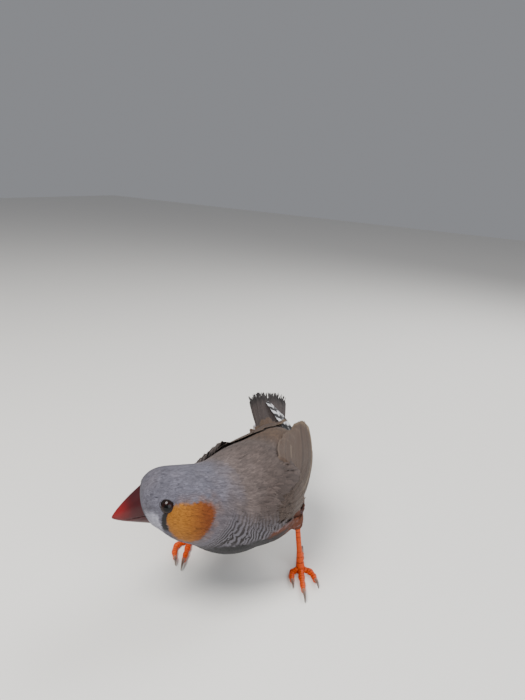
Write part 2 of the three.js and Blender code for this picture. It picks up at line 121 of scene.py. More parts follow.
# Legs
HOCK_HEIGHT = 13.2
THIGH_END = 0.8
THIGH_BLEND = 1.6
THIGH_RINGS = 14
TOE_RADIUS = 0.78
TOE_AXIS_HEIGHT = 0.58
SHANK_SCUTE = 1.35
TOE_SCUTE = 0.85
CLAW_LENGTHS = {"inner": 2.2, "middle": 3.4, "outer": 2.2, "hind": 3.4}
LEGS = {
    "left": {
        "thigh": (7.6, 0.5, 19.5), "hock": (11.8, 4.8), "palm": (14.0, 4.6), "points": 33,
        "spread": {"inner": -26, "middle": 0, "outer": 36, "hind": 172},
        "toes": {"inner": 5.4, "middle": 8.6, "outer": 5.6, "hind": 7.0}, "bow": 1.3,
    },
    "right": {
        "thigh": (-7.0, -1.5, 19.5), "hock": (-9.5, -0.4), "palm": (-14.9, -1.8), "points": 27,
        "spread": {"inner": 74, "middle": 0, "outer": -15, "hind": 180},
        "toes": {"inner": 5.6, "middle": 8.6, "outer": 8.4, "hind": 7.0}, "bow": 2.2,
    },
}

# Colours of the coat, linear
LID_GREY = (0.040, 0.036, 0.038)
SLATE = (0.114, 0.109, 0.136)
SLATE_DARK = (0.080, 0.078, 0.100)
NECK_GREY = (0.103, 0.080, 0.074)
MANTLE = (0.068, 0.050, 0.044)
REAR_BROWN = (0.067, 0.041, 0.026)
CHEEK = (0.315, 0.120, 0.013)
# Painted shade for the rear and bottom of the cheek patch
CHEEK_SHADED = (0.140, 0.033, 0.004)
CHEST_GREY = (0.118, 0.110, 0.132)
WHITE = (0.35, 0.345, 0.41)
CREAM = (0.30, 0.24, 0.17)
BLACK = (0.018, 0.017, 0.018)
CHESTNUT = (0.102, 0.023, 0.005)
BAR_PALE = (0.130, 0.121, 0.138)
BAR_DARK = (0.024, 0.020, 0.020)
BAR_PERIOD = 0.74  # distance between the dark bars of the breast
WING_BROWN = (0.068, 0.044, 0.032)
WING_EDGE = (0.20, 0.145, 0.092)
TERTIAL_EDGE = (0.105, 0.075, 0.054)
PRIMARY_EDGE = (0.34, 0.26, 0.17)
COVERT_BROWN = (0.080, 0.056, 0.045)
LESSER_EDGE = (0.0896, 0.0627, 0.0504)
GREATER_EDGE = (0.17, 0.13, 0.10)
MARGIN_EDGE = (0.16, 0.115, 0.08)
TAIL_BROWN = (0.055, 0.043, 0.040)
TAIL_EDGE = (0.13, 0.105, 0.09)
RECTRIX = (0.040, 0.030, 0.028)
RECTRIX_EDGE = (0.062, 0.047, 0.041)
FRAY = (0.022, 0.018, 0.018)
TAIL_WHITE = (0.60, 0.60, 0.62)
BROWN_COVERT_EDGE = (0.10, 0.072, 0.054)

# Colours of horn, bare skin and eyes, linear
BILL_TIP = (0.205, 0.010, 0.011)
# Painted shade: the bill is red all over, and these darker colours stand in for shade on its base and
# underside
BILL_SHADED_BASE = (0.038, 0.005, 0.007)
BILL_SHADED_UNDERSIDE = (0.042, 0.005, 0.007)
# Painted shade inside the nostril pits
NOSTRIL_SHADE = (0.03, 0.004, 0.004)
LEG_ORANGE = (0.60, 0.070, 0.004)
LEG_GROOVE = (0.22, 0.016, 0.002)
CLAW_ROOT = (0.33, 0.155, 0.10)
CLAW_TIP = (0.11, 0.075, 0.06)
PUPIL = (0.003, 0.003, 0.003)
IRIS = (0.014, 0.005, 0.004)
IRIS_RIM = (0.012, 0.008, 0.007)

# Small feathers
BARB_WAVE = 26.0  # radians of the barbs' ripple for each millimetre
PATCH = 0.003  # size of one feather's patch on the unwrap
FINENESS = 0.85  # size of the small feathers, 1 being as long as the real bird's
ROOT_TRIES = 190000

# Eye openings
LID_RIM = 1.17  # distance of the lid's crest from the middle of the opening
LID_RISE = 0.32
SOCKET_RADIUS = 1.02
OPENING_ABOVE = 0.68  # how far the opening's middle lies above the eyeball's
OPENING_AHEAD = 0.35
OPENING_WIDE = 1.10  # how much wider than high

# Places on the head, in its frame; the cheek patch is seen from the side
HEAD_MIDDLE = (0, 0, -1)
CHEEK_MIDDLE = (2.0, -2.6)
CHEEK_SIDES = (  # straight sides of the rounded patch: outward way in degrees, and reach
    (180, 5.0), (78, 3.5), (20, 5.5), (-38, 4.5), (-80, 5.6), (-140, 5.6),
)
CHEEK_SOFTNESS = 0.8


# Small tools
def smooth(x, low, high):
    t = np.clip((x - low) / (high - low), 0, 1)
    return t * t * (3 - 2 * t)


def blend(a, b, share):
    share = np.asarray(share)[..., None]
    return np.asarray(a) * (1 - share) + np.asarray(b) * share


def unit(v):
    return v / np.maximum(np.linalg.norm(v, axis=-1, keepdims=True), 1e-9)


def noise(p, size, seed):
    """A cheap smooth pattern of humps about size across, from -1 to 1."""
    total = np.zeros(p.shape[:-1])
    turn = np.random.default_rng(seed)
    for _ in range(4):
        way = turn.normal(size=3)
        way /= np.linalg.norm(way)
        total += np.sin(p @ way * (2 * math.pi / size) * turn.uniform(0.6, 1.5) + turn.uniform(0, 6.3))
    return total / 4


# Frames of the head and the tail
def turned_frame(place, angles):
    """Rotation and origin of a frame that is turned as in the solids."""
    dip, tilt, turn = (math.radians(a) for a in angles)
    rotation = Matrix.Rotation(turn, 3, "Z") @ Matrix.Rotation(dip, 3, "X") @ Matrix.Rotation(tilt, 3, "Y")
    return np.array(rotation), np.array(place) + ORIGIN


HEAD = turned_frame(HEAD_CENTRE, HEAD_ANGLES)
TAIL = turned_frame(TAIL_ROOT, TAIL_ANGLES)
BODY = (np.eye(3), ORIGIN)


def out_of(own, p):
    return np.asarray(p, float) @ own[0].T + own[1]


def into(own, p):
    return (np.asarray(p, float) - own[1]) @ own[0]


# The body's surface as a distance, below zero inside
def all_masses():
    for own, masses in ((BODY, BODY_MASSES), (TAIL, TAIL_MASSES), (HEAD, HEAD_MASSES)):
        for centre, half in masses.values():
            yield own, np.array(centre, float), np.array(half, float)


def thigh_curve(leg):
    x, y = leg["hock"]
    knee = (x * 0.92, y * 0.7, HOCK_HEIGHT + 2.6)
    end = (x, y, HOCK_HEIGHT - THIGH_END)
    return smooth_curve(np.array([leg["thigh"], knee, end]) + ORIGIN, THIGH_RINGS)


def smooth_curve(points, count, straight_ends=False):
    """count points, evenly spaced, on a smooth curve through a few points."""
    points = np.asarray(points, float)
    steps = np.sqrt(np.linalg.norm(np.diff(points, axis=0), axis=1))
    knots = np.concatenate([[0], np.cumsum(steps)])
    slopes = np.gradient(points, knots, axis=0, edge_order=1 if straight_ends else 2)
    fine = np.linspace(0, knots[-1], 400)
    k = np.clip(np.searchsorted(knots, fine, side="right") - 1, 0, len(knots) - 2)
    width = (knots[k + 1] - knots[k])[:, None]
    t = (fine[:, None] - knots[k][:, None]) / width
    curve = (
        (2 * t**3 - 3 * t**2 + 1) * points[k] + (t**3 - 2 * t**2 + t) * width * slopes[k]
        + (3 * t**2 - 2 * t**3) * points[k + 1] + (t**3 - t**2) * width * slopes[k + 1]
    )
    walked = np.concatenate([[0], np.cumsum(np.linalg.norm(np.diff(curve, axis=0), axis=1))])
    even = np.linspace(0, walked[-1], count)
    return np.stack([np.interp(even, walked, curve[:, i]) for i in range(3)], axis=1)


def body_distance(p):
    distance = np.full(len(p), 1e3)
    for own, centre, half in all_masses():
        q = into(own, p) - centre
        near = np.linalg.norm(q / half, axis=1)
        steep = np.maximum(np.linalg.norm(q / half**2, axis=1), 1e-6)
        other = near * (near - 1) / steep
        overlap = np.maximum(BODY_BLEND - np.abs(distance - other), 0) / BODY_BLEND
        distance = np.minimum(distance, other) - overlap**2 * BODY_BLEND / 4
    return distance


THIGHS = {side: thigh_curve(leg) for side, leg in LEGS.items()}
THIGH_RADII = 5.0 - 3.5 * np.linspace(0, 1, THIGH_RINGS) ** 0.7


def flesh_distance(p):
    """Distance to the body with its thighs."""
    distance = body_distance(p)
    for curve in THIGHS.values():
        other = np.full(len(p), 1e3)
        for centre, radius in zip(curve[1:], THIGH_RADII[1:]):
            other = np.minimum(other, np.linalg.norm(p - centre, axis=1) - radius)
        overlap = np.maximum(THIGH_BLEND - np.abs(distance - other), 0) / THIGH_BLEND
        distance = np.minimum(distance, other) - overlap**2 * THIGH_BLEND / 4
    return distance


def steepest(p, reach=0.06):
    """The direction straight out of the flesh, and the distance to its surface."""
    here = flesh_distance(p)
    ways = [flesh_distance(p + reach * np.eye(3)[i]) - here for i in range(3)]
    return unit(np.stack(ways, axis=1)), here


# How deep the coat is: thin on the face, thickest on the body
BILL_MIDDLE = out_of(HEAD, (0, BILL_BASE_Y + 0.6, BILL_BASE_Z))


def coat_depth(p):
    from_bill = np.linalg.norm(p - BILL_MIDDLE, axis=-1)
    return np.interp(from_bill, (5, 9, 16, 26), (0.22, 0.34, 0.52, 0.72))


def settle(p, height):
    """Moves points to a height above the skin, whatever their distance from it."""
    target = height - coat_depth(p)
    for _ in range(2):
        out, here = steepest(p)
        p = p + out * (target - here)[:, None]
    return p, out


# The spine, from the tail to the face
SPINE_POINTS = np.array([
    out_of(TAIL, (0, 16.6, -0.8)),
    out_of(TAIL, (0, 6.0, -1.2)),
    np.array(BODY_MASSES["trunk"][0]) + ORIGIN,
    0.55 * np.array(BODY_MASSES["breast"][0]) + 0.45 * np.array(BODY_MASSES["neck"][0]) + ORIGIN,
    np.array(BODY_MASSES["neck"][0]) + ORIGIN,
    out_of(HEAD, (0, 1.0, -0.6)),
    out_of(HEAD, (0, -8.15, -0.2)),
])
SPINE = smooth_curve(SPINE_POINTS, 300)
SPINE_STEP = np.linalg.norm(SPINE[1] - SPINE[0])
SPINE_WAYS = unit(np.gradient(SPINE, axis=0))
SPINE_LEFT = unit(np.cross(SPINE_WAYS, (0, 0, -1.0)))
SPINE_UP = np.cross(SPINE_LEFT, SPINE_WAYS) * -1


def nearest(line, p):
    """Index of the nearest point of a line for each point."""
    index = np.empty(len(p), int)
    for start in range(0, len(p), 20000):
        part = p[start:start + 20000]
        square = (line**2).sum(1) - 2 * part @ line.T
        index[start:start + 20000] = square.argmin(1)
    return index


SPINE_LENGTH = SPINE_STEP * (len(SPINE) - 1)


def on_spine(p):
    """Nearest place on the spine, from 0 at the tail to 1 at the face, its tangent and the turn round it."""
    index = nearest(SPINE, p)
    offset = p - SPINE[index]
    along = (offset * SPINE_WAYS[index]).sum(1) / SPINE_STEP
    share = np.clip((index + along) / (len(SPINE) - 1), 0, 1)
    side = (offset * SPINE_LEFT[index]).sum(1)
    up = (offset * SPINE_UP[index]).sum(1)
    angle = np.arctan2(side, up) / (2 * math.pi) + 0.5  # the cut runs along the belly
    return share, SPINE_WAYS[index], angle


# Objects and attributes
def mesh_object(name, corners, faces):
    """A mesh of triangles and quads from arrays, in millimetres."""
    mesh = bpy.data.meshes.new(name)
    faces = [np.asarray(group, np.int32) for group in faces if len(group)]
    loops = np.concatenate([group.ravel() for group in faces])
    sizes = np.concatenate([np.full(len(group), group.shape[1], np.int32) for group in faces])
    starts = np.concatenate([[0], np.cumsum(sizes)[:-1]]).astype(np.int32)
    mesh.vertices.add(len(corners))
    mesh.vertices.foreach_set("co", (np.asarray(corners) * MM).astype(np.float32).ravel())
    mesh.loops.add(len(loops))
    mesh.loops.foreach_set("vertex_index", loops)
    mesh.polygons.add(len(sizes))
    mesh.polygons.foreach_set("loop_start", starts)
    mesh.update(calc_edges=True)
    mesh.validate()
    mesh.shade_smooth()
    obj = bpy.data.objects.new(name, mesh)
    bpy.context.scene.collection.objects.link(obj)
    return obj


def loop_corners(mesh):
    """Index of the corner at each corner of each face."""
    loops = np.empty(len(mesh.loops), np.int32)
    mesh.loops.foreach_get("vertex_index", loops)
    return loops


def rows_of(items, key):
    """A mesh's places or ways, one row of three for each item."""
    flat = np.empty(len(items) * 3, np.float32)
    items.foreach_get(key, flat)
    return flat.reshape(-1, 3).astype(float)


def corners_of(mesh):
    return rows_of(mesh.vertices, "co") / MM


def move_corners(obj, corners):
    obj.data.vertices.foreach_set("co", (corners * MM).astype(np.float32).ravel())
    obj.data.update()


def add_face_uv(obj, name, places):
    layer = obj.data.uv_layers.new(name=name)
    layer.data.foreach_set("uv", places.astype(np.float32).ravel())


def add_uv(obj, name, places):
    add_face_uv(obj, name, np.asarray(places)[loop_corners(obj.data)])


def add_number(obj, name, values):
    layer = obj.data.attributes.new(name, "FLOAT", "POINT")
    layer.data.foreach_set("value", np.asarray(values, np.float32).ravel())


def add_tint(obj, colours):
    layer = obj.data.color_attributes.new(name="Tint", type="FLOAT_COLOR", domain="POINT")
    full = np.concatenate([colours, np.ones((len(colours), 1))], axis=1)
    layer.data.foreach_set("color", full.astype(np.float32).ravel())


def finish_piece(obj, slot, material, *nodes):
    obj.data.materials.append(material)
    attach(obj, "root")
    if nodes:
        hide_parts(*nodes)
    return obj


# Edges of the body's markings, each from where it starts to change to where the change is done, in
# millimetres in the trunk's frame or as a place along the spine from the tail to the face
FLANK_ASIDE = (5.5, 7.5)
FLANK_BOTTOM = (10.5, 12.0)
FLANK_TOP = (16.8, 18.0)
FLANK_FRONT = (-9.5, -7.5)
FLANK_REAR = (9, 13)
BREAST_REAR = (0.44, 0.50)
BREAST_FRONT = (0.72, 0.78)
BAND_TOP = (15.4, 17.0)
BAND_REAR = (0.50, 0.53)
BAND_FRONT = (0.70, 0.75)
SPOT_STRENGTH = 0.25

# Places along the spine where the pieces of the coat meet
RUMP_END = 0.28
SHOULDERS_START = 0.46
NECK_START = 0.58
HEAD_START = 0.68
FACE_START = 0.82


# Markings: colour and strength of the bars at points of the surface
def cheek_patch(y, z):
    """Above zero inside the cheek patch, in millimetres from its edge."""
    sides = []
    for degrees, reach in CHEEK_SIDES:
        way = math.radians(degrees)
        sides.append((y - CHEEK_MIDDLE[0]) * math.cos(way) + (z - CHEEK_MIDDLE[1]) * math.sin(way) - reach)
    return -CHEEK_SOFTNESS * np.log(np.exp(np.stack(sides) / CHEEK_SOFTNESS).sum(0))


def flank_spots(y, z):
    """White spots in shifted rows, about 2 mm apart."""
    row = np.round(z / 1.9)
    place = np.round(y / 2.3 + 0.5 * (row % 2))
    drift = np.sin(row * 12.9 + place * 78.2) * 0.4
    middle_y = (place - 0.5 * (row % 2)) * 2.3 + drift
    middle_z = row * 1.9 + np.cos(row * 39.3 + place * 11.1) * 0.25
    return 1 - smooth(np.hypot(y - middle_y, z - middle_z), 0.22, 0.42)


def ground_colours(p, h, share, on_head):
    """From the slate head over the neck to the brown back."""
    from_head = np.linalg.norm(h - HEAD_MIDDLE, axis=1) + 1.6 * noise(p, 6.0, 16)
    ground = blend(REAR_BROWN, MANTLE, smooth(share, 0.26, 0.42))
    ground = blend(ground, NECK_GREY, 1 - smooth(from_head, 13, 24))
    ground = blend(ground, SLATE, 1 - smooth(from_head, 7.5, 15))
    mottled = noise(p, 3.5, 13) * 0.5 + 0.5
    ground = blend(ground, SLATE_DARK, 0.35 * on_head * mottled)
    return ground * (1 + 0.14 * noise(p, 1.5, 14) + 0.16 * noise(p, 4.0, 15))[:, None]


def body_markings(ground, h, b, share, rough):
    """Cream belly, white vent, spotted flanks, rump, and the barred breast with its black band."""
    below = 1 - smooth(b[:, 2] + rough * 2, 14.5, 17.5)
    ground = blend(ground, CREAM, below * smooth(-share, -0.50, -0.42))
    under_tail = (1 - smooth(b[:, 2] + 0.3 * b[:, 1], 22, 25)) * smooth(-share, -0.34, -0.26)
    ground = blend(ground, WHITE, under_tail)
    side = smooth(np.abs(b[:, 0]), *FLANK_ASIDE)
    flank = side * (1 - smooth(b[:, 2] + rough, *FLANK_TOP)) * smooth(b[:, 2], *FLANK_BOTTOM)
    flank = flank * smooth(b[:, 1] + rough * 2, *FLANK_FRONT) * (1 - smooth(b[:, 1], *FLANK_REAR))
    ground = blend(ground, CHESTNUT, flank)
    ground = blend(ground, WHITE, SPOT_STRENGTH * flank * flank_spots(b[:, 1], b[:, 2]))
    rump = smooth(-share, -0.17, -0.11) * smooth(b[:, 2], 22, 27)
    ground = blend(ground, TAIL_BROWN, 0.75 * rump)
    front = smooth(share, *BREAST_REAR) * (1 - smooth(share, *BREAST_FRONT))
    barred = front * (1 - smooth(b[:, 2] + 0.35 * b[:, 1] + rough, 12.5, 20.0))
    cheek = smooth(cheek_patch(h[:, 1], h[:, 2]), -0.6, 0.4) * smooth(np.abs(h[:, 0]), 3, 4.5)
    band = (1 - smooth(b[:, 2] + rough * 2.5, *BAND_TOP)) * smooth(share, *BAND_REAR)
    band = band * (1 - smooth(share, *BAND_FRONT))
    chest = front * (1 - smooth(b[:, 2] + 0.25 * b[:, 1] + rough * 3, 12.5, 19.5))
    ground = blend(ground, CHEST_GREY, 0.8 * chest * (1 - flank))
    ground = blend(ground, BLACK, band)
    return ground, barred * (1 - cheek) * (1 - band) * (1 - flank)


def face_markings(ground, p, h, rough, on_head):
    """White stripe behind the bill, orange cheek with painted shade towards its rear and bottom, white chin
    and black tear.
    """
    across, y, z = np.abs(h[:, 0]), h[:, 1], h[:, 2]
    onside = smooth(across, 2.2, 3.4) * on_head
    from_bill = np.hypot(h[:, 0] / (BILL_WIDTH / 2), (z - BILL_BASE_Z) / (BILL_DEPTH / 2))
    white = onside * (1 - smooth(y + rough, -4.5, -3.9)) * (1 - smooth(z + 2 * rough, -0.6, 1.4))
    ground = blend(ground, WHITE, white)
    outer = smooth(across, 2.6, 3.8) * on_head
    cheek = smooth(cheek_patch(y + rough, z + 1.5 * rough), -0.3, 0.4) * outer
    # Painted shade: the cheek patch darkens towards its rear and bottom
    shade = smooth(y - 0.15 * z, -0.5, 6.5)
    haze = 0.22 * smooth(cheek_patch(y, z), -2.2, 0.0) * smooth(y, -1, 2) * outer
    ground = blend(ground, CHEEK, haze * (0.6 + 0.8 * noise(p, 1.7, 17)))
    ground = blend(ground, blend(CHEEK, CHEEK_SHADED, shade), cheek)
    chin = on_head * (1 - smooth(y, -3.2, -0.8)) * (1 - smooth(z, -5.2, -4.2)) * (1 - onside)
    ground = blend(ground, WHITE, 0.6 * chin)
    tear_middle = np.interp(z, (-4.2, -2.4, -0.6, 0.8), (-3.25, -3.45, -3.15, -2.35))
    tear = onside * (1 - smooth(np.abs(y - tear_middle) + rough * 0.6, 0.38, 0.66))
    tear = tear * (1 - smooth(z + rough, 0.1, 0.7)) * smooth(z + rough, -4.6, -3.8)
    ground = blend(ground, BLACK, tear)
    rim = (1 - smooth(from_bill + rough * 0.2, 1.03, 1.13)) * (1 - smooth(y, -4.6, -4.0)) * on_head
    rim = rim * (1 - smooth(z, -0.5, 1.5))
    return blend(ground, BLACK, 0.85 * rim)


def markings(p, share):
    """Colours and bar strength at points of the coat; share is their place along the spine."""
    h = into(HEAD, p)
    rough = noise(p, 1.6, 11) * 0.22 + noise(p, 0.7, 12) * 0.12
    on_head = smooth(share, 0.66, 0.72)
    ground = ground_colours(p, h, share, on_head)
    ground, barred = body_markings(ground, h, into(BODY, p), share, rough)
    return face_markings(ground, p, h, rough, on_head), barred


# One vane: a thin closed blade with a fringed end
def vane_grid(columns, rows):
    """Places (across, along, below) of one vane's corners and its triangles."""
    across = np.linspace(-1, 1, columns + 1)
    along = np.concatenate([[0], np.linspace(0.14, 1, rows)])
    corners = [(a, b, 0) for b in along for a in across] + [(0, b, 1) for b in along[1:-1]]

    def top(j, i):
        return j * (columns + 1) + i

    def keel(j):
        return (rows + 1) * (columns + 1) + j - 1

    triangles = []
    for j in range(rows):
        for i in range(columns):
            triangles.append((top(j, i), top(j, i + 1), top(j + 1, i + 1)))
            triangles.append((top(j, i), top(j + 1, i + 1), top(j + 1, i)))
    for j in range(1, rows - 1):
        triangles.append((top(j, 0), top(j + 1, 0), keel(j + 1)))
        triangles.append((top(j, 0), keel(j + 1), keel(j)))
        triangles.append((keel(j), keel(j + 1), top(j + 1, columns)))
        triangles.append((keel(j), top(j + 1, columns), top(j, columns)))
    for i in range(columns):
        triangles.append((top(0, i + 1), top(0, i), keel(1)))
        triangles.append((top(rows, i), top(rows, i + 1), keel(rows - 1)))
    triangles.append((top(0, 0), top(1, 0), keel(1)))
    triangles.append((top(1, columns), top(0, columns), keel(1)))
    triangles.append((top(rows - 1, 0), top(rows, 0), keel(rows - 1)))
    triangles.append((top(rows, columns), top(rows - 1, columns), keel(rows - 1)))
    return np.array(corners), np.array(triangles)


def vane_plan(grid, length, half, fringe=0.12, tip=0.30, root=0.35, widest=0.55):
    """Flat outlines of many vanes: places across and along each, in millimetres."""
    a, b = grid[:, 0], grid[:, 1]
    count = len(length)
    columns = np.unique(a)
    column = np.searchsorted(columns, a)
    cut = 1 - tip * np.abs(columns) ** 2.2 - fringe * (np.arange(len(columns)) % 2) * 0.5
    ends = cut - fringe * rng.random((count, len(columns)))
    along = length[:, None] * b * ends[:, column]
    widening = root + (1 - root) * np.sin(b / widest * math.pi / 2)
    profile = np.where(b < widest, widening, 1 - 0.25 * ((b - widest) / (1 - widest)) ** 2)
    drift = rng.normal(size=(count, len(columns))) * 0.07
    across = half[:, None] * (a * profile + drift[:, column] * b**2)
    return across, along


def by_column(count, columns, a):
    """A random number for each column of corners in each vane. a runs from -1 to 1 across a vane."""
    column = np.round((a + 1) / 2 * columns).astype(int)
    return rng.normal(size=(count, columns + 1))[:, column]


def vanes_object(name, grid, triangles, corners, roots_uv, tints, numbers):
    """Joins many vanes into one mesh. corners and tints are (vane, corner, 3)."""
    count, size = corners.shape[:2]
    faces = (triangles[None] + (np.arange(count) * size)[:, None, None]).reshape(-1, 3)
    obj = mesh_object(name, corners.reshape(-1, 3), [faces])
    patch = np.stack([grid[:, 0] * 0.5, grid[:, 1] - 0.5], axis=1) * PATCH
    places = np.clip(roots_uv[:, None] + patch[None], 0.001, 0.999)
    add_uv(obj, "OFBake", places.reshape(-1, 2))
    own = np.stack([grid[:, 0] * 0.5 + 0.5, grid[:, 1]], axis=1)
    add_uv(obj, "Vane", np.broadcast_to(own[None], (count, size, 2)).reshape(-1, 2))
    add_tint(obj, tints.reshape(-1, 3))
    for key, values in numbers.items():
        add_number(obj, key, values.reshape(-1))
    return obj


def soften_shading(obj, outs, share):
    """Turns the shading of vanes towards the surface they lie on, as barbs do that part the light."""
    mesh = obj.data
    loops = loop_corners(mesh)
    face = np.repeat(rows_of(mesh.polygons, "normal"), 3, axis=0)
    out = outs[loops]
    above = (face * out).sum(1) > 0
    wanted = np.zeros((len(loops), 3))
    for chosen, sign in ((above, 1), (~above, -1)):
        sums = [np.bincount(loops[chosen], face[chosen, i], len(outs)) for i in range(3)]
        own = unit(np.stack(sums, axis=1))
        wanted[chosen] = unit(own[loops[chosen]] + sign * share * out[chosen])
    mesh.normals_split_custom_set(wanted.tolist())


# Materials
def material_of(name, roughness, **sockets):
    material = bpy.data.materials.new(name)
    material.use_nodes = True
    tree = material.node_tree
    shader = tree.nodes["Principled BSDF"]
    shader.inputs["Roughness"].default_value = roughness
    for key, value in sockets.items():
        shader.inputs[key.replace("_", " ")].default_value = value
    return material, tree, shader


def node(tree, kind, **settings):
    made = tree.nodes.new(kind)
    inputs = settings.pop("inputs", {})
    for key, value in settings.items():
        setattr(made, key, value)
    for key, value in inputs.items():
        made.inputs[key].default_value = value
    return made


def math_node(tree, operation, first, second=None, third=None):
    made = node(tree, "ShaderNodeMath", operation=operation)
    for i, value in enumerate((first, second, third)):
        if value is None:
            continue
        if isinstance(value, (int, float)):
            made.inputs[i].default_value = value
        else:
            tree.links.new(value, made.inputs[i])
    return made.outputs[0]


def attribute(tree, name, output="Fac"):
    return node(tree, "ShaderNodeAttribute", attribute_name=name).outputs[output]


def mix_colour(tree, share, a, b, kind="MIX"):
    made = node(tree, "ShaderNodeMix", data_type="RGBA", blend_type=kind)
    for socket, value in ((made.inputs[0], share), (made.inputs[6], a), (made.inputs[7], b)):
        if isinstance(value, (int, float)):
            socket.default_value = value
        elif isinstance(value, tuple):
            socket.default_value = (*value, 1.0)
        else:
            tree.links.new(value, socket)
    return made.outputs[2]


def clamped(tree, value):
    made = node(tree, "ShaderNodeClamp")
    tree.links.new(value, made.inputs[0])
    return made.outputs[0]


def grain_of(tree, scale):
    """Fine noise over the object."""
    grain = node(tree, "ShaderNodeTexNoise", inputs={"Scale": scale, "Detail": 3.0})
    tree.links.new(node(tree, "ShaderNodeTexCoord").outputs["Object"], grain.inputs["Vector"])
    return grain.outputs[0]


def give_colour(tree, shader, colour, shade):
    """Gives the shader a colour, darkened by a grey shade."""
    grey = node(tree, "ShaderNodeCombineColor")
    for socket in grey.inputs:
        tree.links.new(shade, socket)
    colour = mix_colour(tree, 1.0, colour, grey.outputs[0], "MULTIPLY")
    tree.links.new(colour, shader.inputs["Base Color"])


def give_bump(tree, shader, height, strength, depth):
    """Gives the shader a bumpy face. depth is in millimetres."""
    bump = node(tree, "ShaderNodeBump", inputs={"Strength": strength, "Distance": depth * MM})
    tree.links.new(height, bump.inputs["Height"])
    tree.links.new(bump.outputs[0], shader.inputs["Normal"])


def feather_material(name, roughness, sheen, barb_strength):
    """Tinted vanes with fine barbs, and with dark and pale bars where their strength is above zero."""
    material, tree, shader = material_of(name, roughness)
    shader.inputs["Sheen Weight"].default_value = sheen
    shader.inputs["Sheen Roughness"].default_value = 0.5
    shader.inputs["Specular IOR Level"].default_value = 0.25
    vane = node(tree, "ShaderNodeUVMap", uv_map="Vane").outputs[0]
    split = node(tree, "ShaderNodeSeparateXYZ")
    tree.links.new(vane, split.inputs[0])
    from_shaft = math_node(tree, "ABSOLUTE", math_node(tree, "SUBTRACT", split.outputs[0], 0.5))
    # Barbs leave the shaft towards the tip
    slant = math_node(tree, "SUBTRACT", split.outputs[1], math_node(tree, "MULTIPLY", from_shaft, 0.55))
    length = attribute(tree, "Length")
    walked = math_node(tree, "MULTIPLY", slant, length)
    barbs = math_node(tree, "SINE", math_node(tree, "MULTIPLY", walked, BARB_WAVE))
    grain = grain_of(tree, 2600.0)
    phase = attribute(tree, "Phase")
    bars = math_node(tree, "SINE", math_node(tree, "MULTIPLY", phase, 2 * math.pi))
    bars = clamped(tree, math_node(tree, "MULTIPLY_ADD", bars, 1.6, 0.5))
    bar_colour = mix_colour(tree, bars, BAR_DARK, BAR_PALE)
    tint = attribute(tree, "Tint", "Color")
    colour = mix_colour(tree, attribute(tree, "Bars"), tint, bar_colour)
    shadow = math_node(tree, "MULTIPLY_ADD", barbs, 0.05, 0.95)
    specks = math_node(tree, "MULTIPLY_ADD", grain, 0.30, 0.85)
    give_colour(tree, shader, colour, math_node(tree, "MULTIPLY", shadow, specks))
    give_bump(tree, shader, math_node(tree, "ADD", barbs, grain), barb_strength, 0.04)
    return material


COAT = feather_material("coat", 0.8, 0.06, 0.15)
FLIGHT = feather_material("flight", 0.6, 0.04, 0.35)


# Closed tubes of rings
def ring_faces(rows, sides):
    """Quads between rings of corners, and fans to one more corner at each end."""
    k = np.arange(sides)
    onward = (k + 1) % sides
    low = np.arange(rows - 1)[:, None] * sides
    high = low + sides
    quads = np.stack([low + k, low + onward, high + onward, high + k], -1).reshape(-1, 4)
    last = (rows - 1) * sides
    first_fan = np.stack([onward, k, np.full(sides, rows * sides)], 1)
    last_fan = np.stack([last + k, last + onward, np.full(sides, rows * sides + 1)], 1)
    return [quads, np.concatenate([first_fan, last_fan])]


def ring_mesh(centres, ways, reach, ring_sides):
    """Closed tube: reach gives the radius from centres along directions round each."""
    side = unit(np.cross(ways, (0, 0, -1.0) if abs(ways[0][2]) < 0.9 else (0, 1.0, 0)))
    up = np.cross(ways, side)
    angle = np.linspace(0, 2 * math.pi, ring_sides, endpoint=False)
    turn = angle[None, :, None]
    rays = side[:, None] * np.sin(turn) + up[:, None] * np.cos(turn)
    radii = reach(np.repeat(centres, ring_sides, axis=0), rays.reshape(-1, 3))
    ring = centres[:, None] + rays * radii.reshape(len(centres), ring_sides, 1)
    corners = np.concatenate([ring.reshape(-1, 3), centres[:1], centres[-1:]])
    return corners, ring_faces(len(centres), ring_sides)


def tube(curve, radii, sides):
    """A tube along a curve, with one radius for each of its points."""
    own = np.repeat(radii, sides)
    return ring_mesh(curve, unit(np.gradient(curve, axis=0)), lambda p, r: own, sides)


def joined(name, tubes, voxel, rounds):
    """One watertight, softened surface round several tubes."""
    obj = None
    for corners, faces in tubes:
        part = mesh_object(name, corners, faces)
        if obj is None:
            obj = part
            continue
        with bpy.context.temp_override(active_object=obj, selected_editable_objects=[obj, part]):
            bpy.ops.object.join()
    remesh = obj.modifiers.new("remesh", "REMESH")
    remesh.mode = "VOXEL"
    remesh.voxel_size = voxel * MM
    soften = obj.modifiers.new("soften", "SMOOTH")
    soften.factor = 0.5
    soften.iterations = rounds
    graph = bpy.context.evaluated_depsgraph_get()
    made = bpy.data.meshes.new_from_object(obj.evaluated_get(graph))
    obj.modifiers.clear()
    obj.data = made
    obj.data.shade_smooth()
    return obj


# Skin: tubes along the spine and the thighs, joined into one surface
def skin_reach(points, rays):
    """Distance along rays to the skin, which lies under the coat."""
    steps = np.arange(0.0, 17.0, 0.5)
    inside = np.zeros(len(points))
    open_ray = np.ones(len(points), bool)
    for step in steps:
        p = points[open_ray] + rays[open_ray] * step
        still = body_distance(p) + coat_depth(p) < 0
        index = np.flatnonzero(open_ray)
        inside[index[still]] = step
        open_ray[index[~still]] = False
    low, high = inside, inside + 0.5
    for _ in range(10):
        middle = (low + high) / 2
        p = points + rays * middle[:, None]
        still = body_distance(p) + coat_depth(p) < 0
        low = np.where(still, middle, low)
        high = np.where(still, high, middle)
    return low


